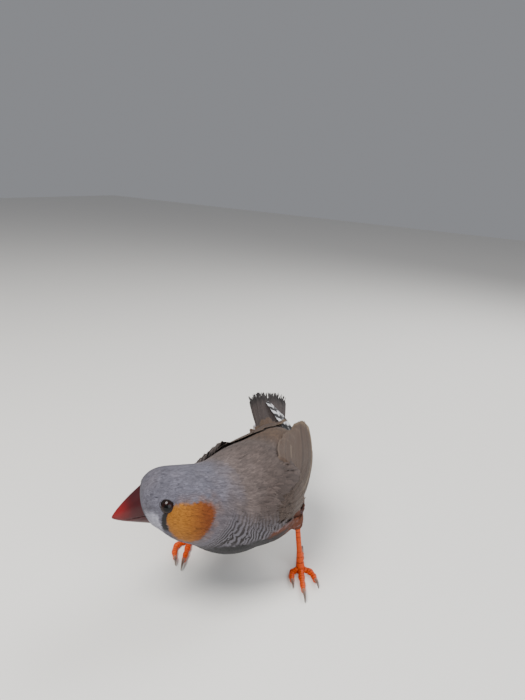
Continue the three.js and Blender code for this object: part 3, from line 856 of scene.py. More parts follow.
def make_skin():
    even = np.linspace(0, 1, 170)
    share = 0.002 + 0.996 * (0.25 * even + 0.75 * (1 - np.cos(math.pi * even)) / 2)
    places = share * (len(SPINE) - 1)
    centres = np.stack([np.interp(places, np.arange(len(SPINE)), SPINE[:, i]) for i in range(3)], 1)
    ways = unit(np.stack([np.interp(places, np.arange(len(SPINE)), SPINE_WAYS[:, i]) for i in range(3)], 1))
    tubes = [ring_mesh(centres, ways, skin_reach, 120)]
    rows = 30
    radii = np.interp(np.linspace(0, 1, rows), np.linspace(0, 1, THIGH_RINGS), THIGH_RADII) - 0.9
    radii = np.maximum(radii * np.sqrt(1 - np.linspace(-1, 1, rows) ** 8), 0.25)
    for curve in THIGHS.values():
        tubes.append(tube(smooth_curve(curve, rows), radii, 24))
    return joined("skin", tubes, 0.35, 6)


EYES = {}  # middle of each eyeball and the way it looks
for side, sign in (("left", 1), ("right", -1)):
    low, high = (np.array(corner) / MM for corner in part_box("eye_" + side))
    EYES[side] = ((low + high) / 2, unit(out_of(HEAD, (sign * 1.0, -0.16, 0.10)) - HEAD[1]))


def from_opening(p, side):
    """Distance from the middle of an eye's opening along the face, stretched to the opening's shape."""
    centre, out = EYES[side]
    offset = (p - centre) @ HEAD[0]
    ahead = (offset[:, 1] + OPENING_AHEAD) / OPENING_WIDE
    above = (offset[:, 2] - OPENING_ABOVE) * OPENING_WIDE
    return np.hypot(ahead, above)


def shape_lids(obj):
    """Finer skin round the eyes, with a socket, a raised lid and a fold behind it."""
    finer = bmesh.new()
    finer.from_mesh(obj.data)
    for centre, _ in EYES.values():
        middle = Vector(centre) * MM
        edges = [edge for edge in finer.edges
                 if ((edge.verts[0].co + edge.verts[1].co) / 2 - middle).length < 3.4 * MM]
        bmesh.ops.subdivide_edges(finer, edges=edges, cuts=2, use_grid_fill=True)
    finer.to_mesh(obj.data)
    finer.free()
    corners, outs = settle(corners_of(obj.data), 0)
    for side, (centre, out) in EYES.items():
        height = (corners - centre) @ out
        aside = from_opening(corners, side)
        near = (height > -0.8) & (aside < 3.4)
        lid = LID_RISE * np.exp(-(((aside - LID_RIM) / 0.24) ** 2))
        fold = 0.06 * np.exp(-(((aside - 1.7) / 0.12) ** 2))
        sunk = (1 - smooth(aside, SOCKET_RADIUS - 0.16, SOCKET_RADIUS)) * (height + 0.5)
        corners = corners + out * np.where(near, lid + fold - sunk, 0)[:, None]
    move_corners(obj, corners)
    obj.data.shade_smooth()


skin = make_skin()
shape_lids(skin)
skin_corners = corners_of(skin.data)
skin_share, _, skin_angle = on_spine(skin_corners)
skin_tints, skin_bars = markings(skin_corners, skin_share)
for side, (centre, out) in EYES.items():
    facing = smooth((skin_corners - centre) @ out, -0.8, -0.4)
    bare = facing * (1 - smooth(from_opening(skin_corners, side), 1.16, 1.30))
    skin_tints = blend(skin_tints, LID_GREY, bare)
# Painted shade: the skin is darkened, as it shows only in the shaded gaps of the coat
add_tint(skin, skin_tints * 0.8)
add_number(skin, "Phase", skin_share * SPINE_LENGTH / BAR_PERIOD)
add_number(skin, "Bars", skin_bars)
add_number(skin, "Length", np.full(len(skin_corners), 3.0))


def skin_unwrap(mesh, share, angle):
    """The skin's own unwrap: round the body across, from tail to face upwards."""
    loops = loop_corners(mesh)
    starts = np.empty(len(mesh.polygons), np.int32)
    mesh.polygons.foreach_get("loop_start", starts)
    u = angle[loops]
    first = np.repeat(u[starts], np.diff(np.append(starts, len(loops))))
    u = np.where(u - first > 0.5, u - 1, np.where(first - u > 0.5, u + 1, u))
    return np.stack([np.clip(u, 0.001, 0.999), np.clip(share[loops], 0.001, 0.999)], axis=1)


for name in ("OFBake", "Vane"):
    add_face_uv(skin, name, skin_unwrap(skin.data, skin_share, skin_angle))
finish_piece(skin, "coat", COAT, "head", "neck", "trunk", "thigh_left", "thigh_right")


# Wings as a chart: along from the wrist, up across the wing, and height above its middle layer
WING_CURVES = {}
for side, sign in (("left", 1), ("right", -1)):
    line = np.array([
        (sign * x - WING_BEND * smooth(y, 0, 25), y, z - WING_DROP[side]) for x, y, z in WING_LINE
    ])
    WING_CURVES[side] = smooth_curve(line + ORIGIN, 200)
WING_REACH = np.linalg.norm(np.diff(WING_CURVES["left"], axis=0), axis=1).sum()


def wing_half_height(along):
    t = np.clip(along / WING_REACH, 0, 1)
    wrist = 0.2 + 0.8 * np.sqrt(1 - (1 - np.minimum(t / 0.2, 1)) ** 2)
    tip = 0.3 + 0.7 * np.sqrt(1 - np.maximum((t - 0.86) / 0.14, 0) ** 2)
    taper = WING_HALF_HEIGHT + (WING_TIP_HALF_HEIGHT - WING_HALF_HEIGHT) * smooth(t, 0.5, 1.1)
    return taper * wrist * tip


def wing_edge(along, across):
    """Distance from the wing's middle line to its upper or lower edge, by the sign of across."""
    t = np.clip(along / WING_REACH, 0, 1)
    sag = 1 + WING_SAG * np.sin(math.pi * np.clip((t - 0.1) / 0.5, 0, 1))
    return wing_half_height(along) * np.where(across < 0, sag, 1.0)


def wing_top(along, across):
    """Height of the wing's outer face above its middle layer."""
    t = np.clip(along / WING_REACH, 0, 1)
    share = across / wing_edge(along, across)
    edge = np.sqrt(np.clip(1 - share**2, 0, 1))
    tuck = WING_TUCK * smooth(share, 0.35, 1.05) * (1 - smooth(t, 0.33, 0.48))
    return 0.3 + 0.7 * edge * np.sin(math.pi * (0.12 + 0.78 * t)) - tuck


def wing_axes(side, along):
    """Middle line, tangent, outward and upward ways of a wing at distances from its wrist."""
    curve = WING_CURVES[side]
    place = np.clip(along / WING_REACH, 0, 1) * (len(curve) - 1)
    index = np.arange(len(curve))
    ways = unit(np.gradient(curve, axis=0))
    centre = np.stack([np.interp(place, index, curve[:, i]) for i in range(3)], -1)
    way = unit(np.stack([np.interp(place, index, ways[:, i]) for i in range(3)], -1))
    centre = centre + way * (along - np.clip(along, 0, WING_REACH))[..., None]
    outwards = centre - (ORIGIN + (0, 0, BODY_MASSES["trunk"][0][2]))
    outwards[..., 1] = 0
    outwards = unit(outwards - way * (outwards * way).sum(-1, keepdims=True))
    upwards = np.cross(outwards, way) * (1 if side == "left" else -1)
    return centre, way, outwards, upwards


def wing_point(side, along, across, height):
    centre, _, outwards, upwards = wing_axes(side, along)
    angle = (across / WING_ROUNDING)[..., None]
    normal = outwards * np.cos(angle) + upwards * np.sin(angle)
    return centre - outwards * WING_ROUNDING + normal * (WING_ROUNDING + height)[..., None], normal


def wing_chart(side, p):
    """Where points lie in a wing's chart, and the way out of the wing there."""
    index = nearest(WING_CURVES[side], p)
    along = index / (len(WING_CURVES[side]) - 1) * WING_REACH
    centre, way, _, _ = wing_axes(side, along)
    along = along + ((p - centre) * way).sum(-1)
    centre, way, outwards, upwards = wing_axes(side, along)
    offset = p - (centre - outwards * WING_ROUNDING)
    up, out = (offset * upwards).sum(-1), (offset * outwards).sum(-1)
    angle = np.arctan2(up, out)
    normal = outwards * np.cos(angle)[:, None] + upwards * np.sin(angle)[:, None]
    return along, angle * WING_ROUNDING, np.hypot(up, out) - WING_ROUNDING, normal


def over_wings(p, clearance, rows, along_vane):
    """Lifts vanes that would sink into a wing, without a step along any of them.

    p is (vane, corner, 3), rows gives each corner's row and along_vane its place along the vane in mm."""
    for side in WING_CURVES:
        along, across, height, normal = wing_chart(side, p.reshape(-1, 3))
        half = wing_edge(along, across)
        within = smooth(half * 1.12 - np.abs(across), 0, 1.0) * (height > -4)
        within = within * smooth(along, WING_FRONT_CUT[side], WING_FRONT_CUT[side] + 2)
        within = within * (1 - smooth(along, WING_OUT, WING_OUT + 4))
        wanted = np.maximum(height, wing_top(along, across) + clearance.reshape(-1))
        extra = ((wanted - height) * within).reshape(p.shape[:2])
        levels = np.stack([extra[:, rows == row].max(1) for row in range(rows.max() + 1)], 1)
        places = np.stack([along_vane[:, rows == row].mean(1) for row in range(rows.max() + 1)], 1)
        reach = LIFT_SLOPE * np.abs(places[:, :, None] - places[:, None, :])
        levels = np.maximum((levels[:, None, :] - reach).max(2), 0)
        lift = levels[:, rows]
        # Further back the wing is on top
        tucked = smooth(half - np.abs(across), -0.4, 0.6) * smooth(along, WING_OUT + 1, WING_OUT + 4)
        tucked = tucked * (height > -1.3) * (height < 4)
        drop = (np.minimum(height, -1.3) - height) * tucked
        p = p + normal.reshape(p.shape) * (lift + drop.reshape(p.shape[:2]))[..., None]
    return p


def under_wing(p):
    """True where a wing covers the body."""
    covered = np.zeros(len(p), bool)
    for side in WING_CURVES:
        along, across, height, _ = wing_chart(side, p)
        half = wing_edge(along, across)
        margin = np.where(along > WING_OUT + 2, -0.2, 1.3)
        inside = (along > WING_FRONT_CUT[side] + 2.0) & (along < WING_REACH - 1) & (height > -4.5)
        covered |= inside & (np.abs(across) < half - margin)
    return covered


# Roots of the small feathers, spread evenly over the skin, closest on the face
def feather_length(p):
    from_bill = np.linalg.norm(p - BILL_MIDDLE, axis=-1)
    length = np.interp(from_bill, (4.5, 7, 10, 14, 20, 30), (1.0, 1.4, 1.9, 2.5, 3.2, 4.2))
    for centre, _ in EYES.values():
        length = np.minimum(length, 0.42 * np.linalg.norm(p - centre, axis=-1) - 0.15)
    for curve in THIGHS.values():
        length = np.minimum(length, 1.1 + 0.30 * np.linalg.norm(p - curve[-1], axis=-1))
    return np.maximum(length, 0.5) * FINENESS


def spread_roots(mesh, spacing_of, tries):
    """Points on a mesh, none nearer to another than the spacing there."""
    mesh.calc_loop_triangles()
    flat = np.empty(len(mesh.loop_triangles) * 3, np.int32)
    mesh.loop_triangles.foreach_get("vertices", flat)
    tri = corners_of(mesh)[flat.reshape(-1, 3)]
    area = np.linalg.norm(np.cross(tri[:, 1] - tri[:, 0], tri[:, 2] - tri[:, 0]), axis=1) / 2
    wanted = area / spacing_of(tri.mean(1)) ** 2
    pick = rng.choice(len(tri), size=tries, p=wanted / wanted.sum())
    r1, r2 = np.sqrt(rng.random(tries))[:, None], rng.random(tries)[:, None]
    t = tri[pick]
    points = (1 - r1) * t[:, 0] + r1 * (1 - r2) * t[:, 1] + r1 * r2 * t[:, 2]
    spacing = spacing_of(points)
    tree = KDTree(tries)
    for i, place in enumerate(points):
        tree.insert(place, i)
    tree.balance()
    alive = np.ones(tries, bool)
    for i in range(tries):
        if not alive[i]:
            continue
        for _, j, _ in tree.find_range(points[i], spacing[i]):
            if j > i:
                alive[j] = False
    return points[alive]


def root_spacing(p):
    length = feather_length(p)
    return length * np.interp(length, (0.8, 2.2), (0.27, 0.205))


roots = spread_roots(skin.data, root_spacing, ROOT_TRIES)
clear_of_eye = np.ones(len(roots), bool)
for side, (centre, out) in EYES.items():
    clear_of_eye &= (from_opening(roots, side) > 1.27) | ((roots - centre) @ out < -0.8)
in_bill = np.linalg.norm(
    (into(HEAD, roots) - (0, 0, BILL_BASE_Z))[:, [0, 2]] / (BILL_WIDTH / 2, BILL_DEPTH / 2), axis=1) < 0.98
in_bill &= into(HEAD, roots)[:, 1] < BILL_BASE_Y + 0.8
roots = roots[clear_of_eye & ~in_bill]
roots = roots[~under_wing(roots)]
root_share, root_ways, root_angle = on_spine(roots)


def lie_of(p, ways, normals):
    """The way the coat lies: from the face backwards, away from the bill, and down the thighs."""
    away = unit(p - BILL_MIDDLE)
    from_bill = np.linalg.norm(p - BILL_MIDDLE, axis=1)
    lie = blend(-ways, away, 1 - smooth(from_bill, 7, 14))
    for curve in THIGHS.values():
        near = np.linalg.norm(p[:, None] - curve[None, 6:], axis=2).min(1)
        down = unit(curve[-1] - curve[4])
        lie = blend(lie, down, 1 - smooth(near, 2.6, 5.0))
    # Over the edges of the wings: scapulars come down, flank feathers come up
    for side in WING_CURVES:
        along, across, _, normal = wing_chart(side, p)
        _, way, outwards, upwards = wing_axes(side, along)
        half = wing_edge(along, across)
        near = 1 - smooth(np.abs(np.abs(across) - half), 0.5, 5.0)
        near = near * smooth(along, -2, 3) * (1 - smooth(along, WING_OUT - 2, WING_OUT + 3))
        tangent = upwards - normal * (upwards * normal).sum(1, keepdims=True)
        lie = lie - unit(tangent) * (np.sign(across) * near * np.where(across > 0, 0.35, 0.45))[:, None]
    lie = lie + 0.05 * rng.normal(size=lie.shape)
    lie = lie - normals * (lie * normals).sum(1, keepdims=True)
    return unit(lie)


root_normals, _ = steepest(roots)
root_lie = lie_of(roots, root_ways, root_normals)


def near_wing(p):
    """How near points are to the edge of a wing, from 0 far away to 1 at it."""
    nearness = np.zeros(len(p))
    for side in WING_CURVES:
        along, across, height, _ = wing_chart(side, p)
        gap = np.maximum(np.abs(across) - wing_edge(along, across), 0)
        gap = np.hypot(gap, np.maximum(-along, 0))
        gap = np.hypot(gap, np.maximum(np.abs(height) - 4, 0))
        nearness = np.maximum(nearness, (1 - smooth(gap, 1.0, 4.5)) * (along < 30))
    return nearness


# Pieces of the coat
def region_of(p, share):
    """Name of the coat piece that each feather belongs to."""
    b = into(BODY, p)
    upper = b[:, 2] > 22
    names = np.where(upper, "mantle", "belly").astype(object)
    ahead = share > SHOULDERS_START
    names[ahead] = np.where(upper, "shoulders", "breast")[ahead]
    for start, name in ((NECK_START, "neck"), (HEAD_START, "head"), (FACE_START, "face")):
        names[share > start] = name
    behind = share <= RUMP_END
    names[behind] = np.where(upper, "rump", "vent")[behind]
    for curve in THIGHS.values():
        near = np.linalg.norm(p[:, None] - curve[None, 4:], axis=2).min(1)
        names[(near < 4.2) & (b[:, 2] < 17)] = "thigh"
    middle = np.where(share > 0.64, into(HEAD, p)[:, 0], b[:, 0])
    half = np.where(middle > 0, "_left", "_right").astype(object)
    return "coat_" + names + half


def lay_coat(name, chosen, columns, rows):
    grid, triangles = vane_grid(columns, rows)
    a, b, below = grid.T
    p, lie, normals = roots[chosen], root_lie[chosen], root_normals[chosen]
    count, size = len(p), len(grid)
    wingward = near_wing(p)
    length = feather_length(p) * rng.uniform(0.9, 1.1, count) * (1 + 0.5 * wingward)
    half = length * rng.uniform(0.17, 0.22, count)
    across, along = vane_plan(grid, length, half, fringe=0.24, tip=0.30)
    side = np.cross(lie, normals)
    flat = p[:, None] + side[:, None] * across[..., None] + lie[:, None] * along[..., None]
    surface = flat.reshape(-1, 3)
    # The vane rises out of the coat at once and then runs flat, so its tip hardly stands out
    depth = coat_depth(p)[:, None]
    rise = 0.6 * smooth(b, 0, 0.14) + 0.4 * (1 - (1 - b) ** 2)
    height = depth * rng.uniform(0.965, 1.01, (count, 1)) * rise - 0.06 * (b == 0)
    height = height - 0.16 * half[:, None] * a**2 - (0.03 + 0.02 * half[:, None]) * below
    placed, outs = settle(surface, height.reshape(-1))
    placed = placed.reshape(count, size, 3)
    touching = np.flatnonzero(wingward > 0)
    if len(touching):
        lift = (0.1 + 0.4 * rise - 0.06 * below)[None] * rng.uniform(0.95, 1.05, (len(touching), 1))
        row = np.unique(b, return_inverse=True)[1]
        placed[touching] = over_wings(placed[touching], lift, row, along[touching])
    # Colour: partly from each corner's own place, partly from where the feather shows
    shown = p + lie * length[:, None] * 0.7
    spots = surface.reshape(count, size, 3)
    look = 0.5 * spots + 0.5 * shown[:, None]
    share, _, _ = on_spine(shown)
    shares = np.broadcast_to(share[:, None], (count, size)).reshape(-1)
    tints, bars = markings(look.reshape(-1, 3), shares)
    streaks = 1 + 0.15 * by_column(count, columns, a)
    tints = tints.reshape(spots.shape) * rng.uniform(0.86, 1.14, (count, 1, 1)) * streaks[..., None]
    # Painted shade: each vane darkens towards its root, which lies under the vanes above it
    tints = tints * (0.75 + 0.25 * smooth(b, 0.0, 0.5))[None, :, None]
    here, _, _ = on_spine(p)
    ahead, _, _ = on_spine(p + lie * 1.0)
    rate = np.clip((here - ahead) * SPINE_LENGTH, 0.3, 1.2)
    walked = (1 - here)[:, None] * SPINE_LENGTH + along * rate[:, None]
    wave = noise(spots, 5.0, 21) * 0.4 + noise(spots, 1.9, 22) * 0.3
    numbers = {
        "Phase": walked / BAR_PERIOD + wave,
        "Bars": bars.reshape(count, size),
        "Length": np.broadcast_to(length[:, None], (count, size)),
    }
    uv = np.stack([root_angle[chosen], root_share[chosen]], 1)
    obj = vanes_object(name, grid, triangles, placed, uv, tints, numbers)
    soften_shading(obj, outs, 1.5)
    return finish_piece(obj, "coat", COAT)


regions = region_of(roots, root_share)
for region in sorted(set(regions)):
    chosen = np.flatnonzero(regions == region)
    fine = "face" in region or "head" in region
    lay_coat(region, chosen, 6, 4 if fine else 6)


# Long feathers of the wings and the tail
def gathered(feathers, key):
    """One value of each feather, as a column."""
    return np.array([feather[key] for feather in feathers], float)[:, None]


def plain_numbers(length, size):
    """The numbers of vanes with no bars of their own."""
    blank = np.zeros((len(length), size))
    return {"Phase": blank, "Bars": blank, "Length": np.broadcast_to(length[:, None], blank.shape)}


def wing_vanes(name, side, feathers, columns, rows, fringe=0.02, streak=0.05):
    """Feathers in a wing's chart. Each is root and tip along the wing, its place across at both as shares of
    the half height, half width, length of the rounded end, lift at both ends, tint and edge tint."""
    grid, triangles = vane_grid(columns, rows)
    a, b, below = grid.T
    f = {key: gathered(feathers, key) for key in feathers[0]}
    count, size = len(feathers), len(grid)
    length = (f["tip"] - f["root"])[:, 0]
    across, along = vane_plan(grid, length, f["half"][:, 0], fringe=fringe, tip=f["end"] / length[:, None],
                              root=0.55, widest=0.3)
    u = f["root"] + along
    turning = np.clip((u - f["root"]) / length[:, None] / 0.42 - 0.45, 0, 1)
    share = f["from_share"] + (f["to_share"] - f["from_share"]) * turning**2 * (3 - 2 * turning)
    v = share * wing_edge(np.clip(u, 0, WING_REACH * 0.97), share) + across
    shaft = 0.05 * np.exp(-(a / 0.12) ** 2)
    height = f["low"] + (f["high"] - f["low"]) * b + shaft - 0.12 * a**2 - 0.07 * below
    corners, outs = wing_point(side, u, v, wing_top(u, v) + height)
    # The upper feathers lie on the back
    steep, distance = steepest(corners.reshape(-1, 3))
    gap = 0.3 + height - distance.reshape(u.shape)
    upper = smooth(v / wing_edge(np.clip(u, 0, WING_REACH * 0.97), v), 0.35, 0.95) * smooth(u, 14, 19)
    upper = upper * (1 - smooth(u, 30, 37))
    gap = np.where(gap > 0, gap * (v > 0) * (u > WING_OUT), gap * upper)
    corners = corners + steep.reshape(corners.shape) * gap[..., None]
    rim = np.where(np.abs(a) > 0.8, np.where(a < 0, 0.85, 0.45), 0.0)
    rim = np.maximum(rim, 0.5 * smooth(b, 0.93, 1.0))
    tints = f["tint"] + (f["edge"] - f["tint"]) * rim[None, :, None]
    tints = tints * (1 + streak * by_column(count, columns, a))[..., None]
    tints = tints * (1 - 0.25 * np.exp(-(a / 0.08) ** 2))[None, :, None]
    tints = tints * rng.uniform(0.93, 1.07, (count, 1, 1))
    uv = np.stack([np.linspace(0.1, 0.9, count), np.full(count, 0.5)], 1)
    facing = triangles[:, ::-1] if side == "left" else triangles
    obj = vanes_object(name, grid, facing, corners, uv, tints, plain_numbers(length, size))
    soften_shading(obj, outs.reshape(-1, 3), 0.5)
    return finish_piece(obj, "wing", FLIGHT, "wing_" + side)


def feather(root, tip, from_share, to_share, half, end, low, high, tint=WING_BROWN, edge=WING_EDGE):
    return dict(root=root, tip=tip, from_share=from_share, to_share=to_share, half=half, end=end,
                low=low, high=high, tint=tint, edge=edge)


def wing_core(name, side, along, shares, sink, tint):
    """A closed plate under the feathers. sink is how deep it lies, over (along, across)."""
    u, share = np.meshgrid(along, shares, indexing="ij")
    v = share * wing_edge(u, share)
    upper_height = wing_top(u, np.clip(share, -0.97, 0.97) * wing_edge(u, share)) - sink(u, share)
    upper, _ = wing_point(side, u.ravel(), v.ravel(), upper_height.ravel())
    lower, _ = wing_point(side, u.ravel(), v.ravel(), (upper_height - CORE_THICKNESS).ravel())
    index = np.arange(u.size).reshape(u.shape)
    top = np.stack([index[:-1, :-1], index[1:, :-1], index[1:, 1:], index[:-1, 1:]], -1).reshape(-1, 4)
    bottom = top[:, ::-1] + u.size
    rim = np.concatenate([index[0, :-1], index[:-1, -1], index[-1, :0:-1], index[:0:-1, 0]])
    onward = np.roll(rim, -1)
    walls = np.stack([rim, onward, onward + u.size, rim + u.size], 1)
    obj = mesh_object(name + "_" + side, np.concatenate([upper, lower]), [top, bottom, walls])
    tidy = bmesh.new()
    tidy.from_mesh(obj.data)
    bmesh.ops.recalc_face_normals(tidy, faces=tidy.faces)
    tidy.to_mesh(obj.data)
    tidy.free()
    places = np.stack([(u / WING_REACH).ravel(), (share * 0.4 + 0.5).ravel()], 1)
    add_uv(obj, "OFBake", np.clip(np.tile(places, (2, 1)), 0.01, 0.99))
    add_uv(obj, "Vane", np.full((2 * u.size, 2), 0.3))
    add_tint(obj, np.tile(tint(u, share).reshape(-1, 3), (2, 1)))
    for key in ("Phase", "Bars", "Length"):
        add_number(obj, key, np.zeros(2 * u.size))
    return finish_piece(obj, "wing", FLIGHT, "wing_" + side)


def front_sink(u, share):
    at_edges = 1.6 * smooth(np.abs(share), 0.93, 1.12)
    at_wrist = 1.2 * (1 - smooth(u, -1, 1.5))
    return 0.35 + 0.9 * smooth(u, 11, 15) + at_edges + at_wrist


def rear_sink(u, share):
    return 1.0 + 0.3 * smooth(u, 24, 28)


def front_tint(u, share):
    return blend(NECK_GREY, COVERT_BROWN, smooth(u, 1, 7)) * 0.85


def rear_tint(u, share):
    return np.broadcast_to(WING_BROWN, (*u.shape, 3))


for side in WING_CURVES:
    front = WING_FRONT_CUT[side]
    wing_core("wing_front", side, np.linspace(front - 1, 15, 50), np.linspace(-1.12, 1.12, 41),
              front_sink, front_tint)
    wing_core("wing_core", side, np.linspace(12, WING_REACH * 0.66, 50), np.linspace(-0.6, 0.8, 31),
              rear_sink, rear_tint)
    primaries = []
    for k, reach in enumerate(PRIMARY_REACHES):
        place = -0.80 + 0.115 * k
        primaries.append(feather(11 + 0.3 * k, WING_REACH * reach, place - 0.02, -0.26 + 0.11 * k, 1.4, 2.2,
                                 -1.25 + 0.085 * k, -1.05 + 0.085 * k, edge=PRIMARY_EDGE))
    wing_vanes("primaries_" + side, side, primaries, 12, 40)
    secondaries = []
    for k in range(6):
        secondaries.append(feather(10.5, WING_REACH * (0.82 + 0.01 * k), -0.42 + 0.15 * k, -0.30 + 0.17 * k,
                                   1.7, 2.4, -0.52 + 0.08 * k, -0.42 + 0.08 * k))
    wing_vanes("secondaries_" + side, side, secondaries, 12, 36)
    tertials = [
        feather(10, WING_REACH * 1.03, 0.10, 0.02, 2.0, 2.0, -0.10, -0.05),
        feather(9, WING_REACH * 1.02, 0.42, 0.42, 2.5, 2.2, -0.04, 0.02),
        feather(8, WING_REACH * 0.93, 0.62, 0.82, 2.4, 2.3, 0.03, 0.1, edge=TERTIAL_EDGE),
        feather(8, WING_REACH * 0.82, 0.85, 1.16, 2.3, 2.3, 0.10, 0.2, edge=TERTIAL_EDGE),
        feather(8, WING_REACH * 0.70, 1.00, 1.34, 2.2, 2.2, 0.16, 0.3, edge=TERTIAL_EDGE),
    ]
    wing_vanes("tertials_" + side, side, tertials, 14, 34)
    greater = []
    for k in range(9):
        greater.append(feather(7, 15.6 + 0.42 * k, -0.78 + 0.19 * k, -0.72 + 0.19 * k, 1.35, 1.9,
                               -0.55 + 0.03 * k, 0.15 + 0.03 * k, COVERT_BROWN, GREATER_EDGE))
    for k in range(5):
        greater.append(feather(6, 15.5 + 0.9 * k, -0.98 + 0.07 * k, -0.93 + 0.07 * k, 0.9, 1.6,
                               -0.9 + 0.05 * k, -0.35 + 0.05 * k, WING_BROWN, MARGIN_EDGE))
    wing_vanes("greater_coverts_" + side, side, greater, 10, 20)
    lesser = []
    for row in range(int((12.0 - front) / 0.95)):
        start = 8.6 - 0.95 * row
        if start < front - 1:
            continue
        for k in range(13):
            place = -1.02 + 0.165 * (k + 0.5 * (row % 2)) + rng.normal() * 0.02
            size = 0.8 + 0.25 * (1 - row / 12)
            root = start + rng.normal() * 0.12
            tip = start + 3.6 * size + 0.3 * rng.normal()
            lesser.append(feather(root, tip, place, place + 0.02, 0.95 * size, 1.0,
                                  -0.5, 0.28 + 0.02 * row + 0.04 * rng.random(), COVERT_BROWN, LESSER_EDGE))
    wing_vanes("lesser_coverts_" + side, side, lesser, 8, 6, fringe=0.16)


# Tail
def tail_vanes(name, feathers, columns, rows, fringe):
    """Feathers in the tail's frame. Each is root and tip, half width, length of the rounded end, lift at the
    middle, roll, tint and edge tint, how dark the end is, and whether it has white bars."""
    grid, triangles = vane_grid(columns, rows)
    a, b, below = grid.T
    f = {key: gathered(feathers, key) for key in feathers[0]}
    root, tip, roll = f["root"], f["tip"], f["roll"]
    half = f["half"][:, 0]
    count, size = len(feathers), len(grid)
    reach = np.linalg.norm(tip - root, axis=2)[:, 0]
    across, along = vane_plan(grid, reach, half, fringe=fringe, tip=f["end"] / reach[:, None],
                              root=0.5, widest=0.45)
    share = along / reach[:, None]
    line = root + (tip - root) * share[..., None]
    line = line + np.array([0, 0, 1.0]) * (f["lift"] * np.sin(math.pi * share))[..., None]
    shaft = 0.06 * np.exp(-(a / 0.1) ** 2)
    aside = np.stack([np.cos(roll) + 0 * across, 0 * across, np.sin(roll) + 0 * across], -1)
    up = np.stack([-np.sin(roll) + 0 * across, 0 * across, np.cos(roll) + 0 * across], -1)
    height = shaft - 0.125 * a**2 * half[:, None] - 0.07 * below
    corners = line + aside * across[..., None] + up * height[..., None]
    rim = np.where(np.abs(a) > 0.85, 0.7, 0.0)
    tints = f["tint"] + (f["edge"] - f["tint"]) * rim[None, :, None]
    tints = tints * (1 - f["dark_end"] * smooth(b, 0.80, 0.97)[None])[..., None]
    ragged = 0.7 * by_column(count, columns, a)
    wave = np.sin(2 * math.pi * (along - 1.1 * np.abs(a) + ragged) / TAIL_BAR_PERIOD + 0.5)
    white = f["bars"] * smooth(wave, 0.15, 0.35) * smooth(b, 0.12, 0.2)
    tints = blend(tints, TAIL_WHITE, white)
    tints = tints * (1 + 0.07 * by_column(count, columns, a))[..., None]
    tints = np.clip(tints * rng.uniform(0.92, 1.08, (count, 1, 1)), 0, 0.8)
    uv = np.stack([np.linspace(0.1, 0.9, count), np.full(count, 0.02)], 1)
    numbers = plain_numbers(reach, size)
    obj = vanes_object(name, grid, triangles, out_of(TAIL, corners), uv, tints, numbers)
    outs = np.broadcast_to(up, corners.shape).reshape(-1, 3) @ TAIL[0].T
    soften_shading(obj, outs, 0.3)
    return finish_piece(obj, "tail", FLIGHT, "tail")


def tail_feather(root, tip, half, end=2.0, lift=0.0, roll=0.0, tint=TAIL_BROWN, edge=TAIL_EDGE,
                 dark_end=0.6, bars=0.0):
    return dict(root=root, tip=tip, half=half, end=end, lift=lift, roll=roll, tint=tint, edge=edge,
                dark_end=dark_end, bars=bars)


rectrices = []
frays = []
for sign in (1, -1):
    for k in range(6):
        spread = k / 5
        reach = TAIL_LENGTH + 0.1 - 1.6 * abs(spread - 0.4)
        tip = (sign * (0.85 + 4.2 * spread), reach, 1.2 - 0.10 * k - 0.9 * spread**2)
        root = (sign * (0.4 + 1.5 * spread), 7.0, 0.6 - 0.14 * k)
        for _ in range(9):
            start = rng.uniform(0.80, 0.92)
            aside = rng.uniform(-1.0, 1.0)
            foot = [r + (t - r) * start for r, t in zip(root, tip)]
            foot[0] += 0.8 * aside
            point = (tip[0] + 1.1 * aside + 0.1 * sign, tip[1] + rng.uniform(-0.9, 0.0),
                     tip[2] + rng.uniform(0.0, 0.3))
            frays.append(tail_feather(foot, point, 0.11, end=0.6, tint=FRAY, edge=FRAY))
        rectrices.append(tail_feather(root, tip, 1.2, end=2.6, roll=-sign * 0.12 * spread,
                                      tint=RECTRIX, edge=RECTRIX_EDGE))
tail_vanes("rectrices", rectrices, 26, 40, 0.12)
tail_vanes("frays", frays, 2, 6, 0.0)

# The right group of barred coverts is tucked down beside the tail
barred = dict(end=1.5, tint=BLACK, edge=BLACK, dark_end=0.0, bars=1.0)
upper = []
for k, (x, y) in enumerate(BARRED_TIPS):
    lower = 0.25 * k
    left_root, left_tip = (5.0 + 0.3 * k, 8.5, 1.2 - lower), (x, y, 1.3 - 0.5 * lower)
    right_root, right_tip = (-4.2 - 0.3 * k, 8.5, 0.2 - lower), (-3.2 + 0.3 * k, y - 8.5, -1.8 - lower)
    upper.append(tail_feather(left_root, left_tip, 1.35, lift=0.45, roll=-0.25, **barred))
    upper.append(tail_feather(right_root, right_tip, 1.2, roll=0.7, **barred))
tail_vanes("barred_coverts", upper, 12, 44, 0.05)

brown = []
for row in range(4):
    for k in range(7):
        place = (k - 3) / 3
        reach = 17.5 - 2.6 * row - 5.0 * abs(place) + 0.9 * rng.normal()
        tip = (4.9 * place - 0.6, reach, 1.75 - 1.0 * place**2 + 0.12 * row)
        root = (3.2 * place - 0.6, reach - 8.5, 2.1 - 1.2 * place**2)
        brown.append(tail_feather(root, tip, 1.3, end=2.2, lift=0.3, roll=-0.25 * place, tint=REAR_BROWN,
                                  edge=BROWN_COVERT_EDGE, dark_end=0.0))
tail_vanes("brown_coverts", brown, 12, 16, 0.14)

under = []
for row in range(4):
    for k in range(6):
        place = (k - 2.5) / 2.5
        reach = 22.5 - 3.4 * row - 2.0 * abs(place)
        tip = (3.6 * place, reach, -2.4 + 0.7 * place**2 - 0.25 * row)
        root = (2.6 * place, reach - 9.0, -2.6 + 0.8 * place**2)
        under.append(tail_feather(root, tip, 1.6, end=1.5, lift=-0.3, roll=math.pi + 0.2 * place,
                                  tint=WHITE, edge=CREAM, dark_end=0.0))
tail_vanes("under_coverts", under, 12, 16, 0.16)


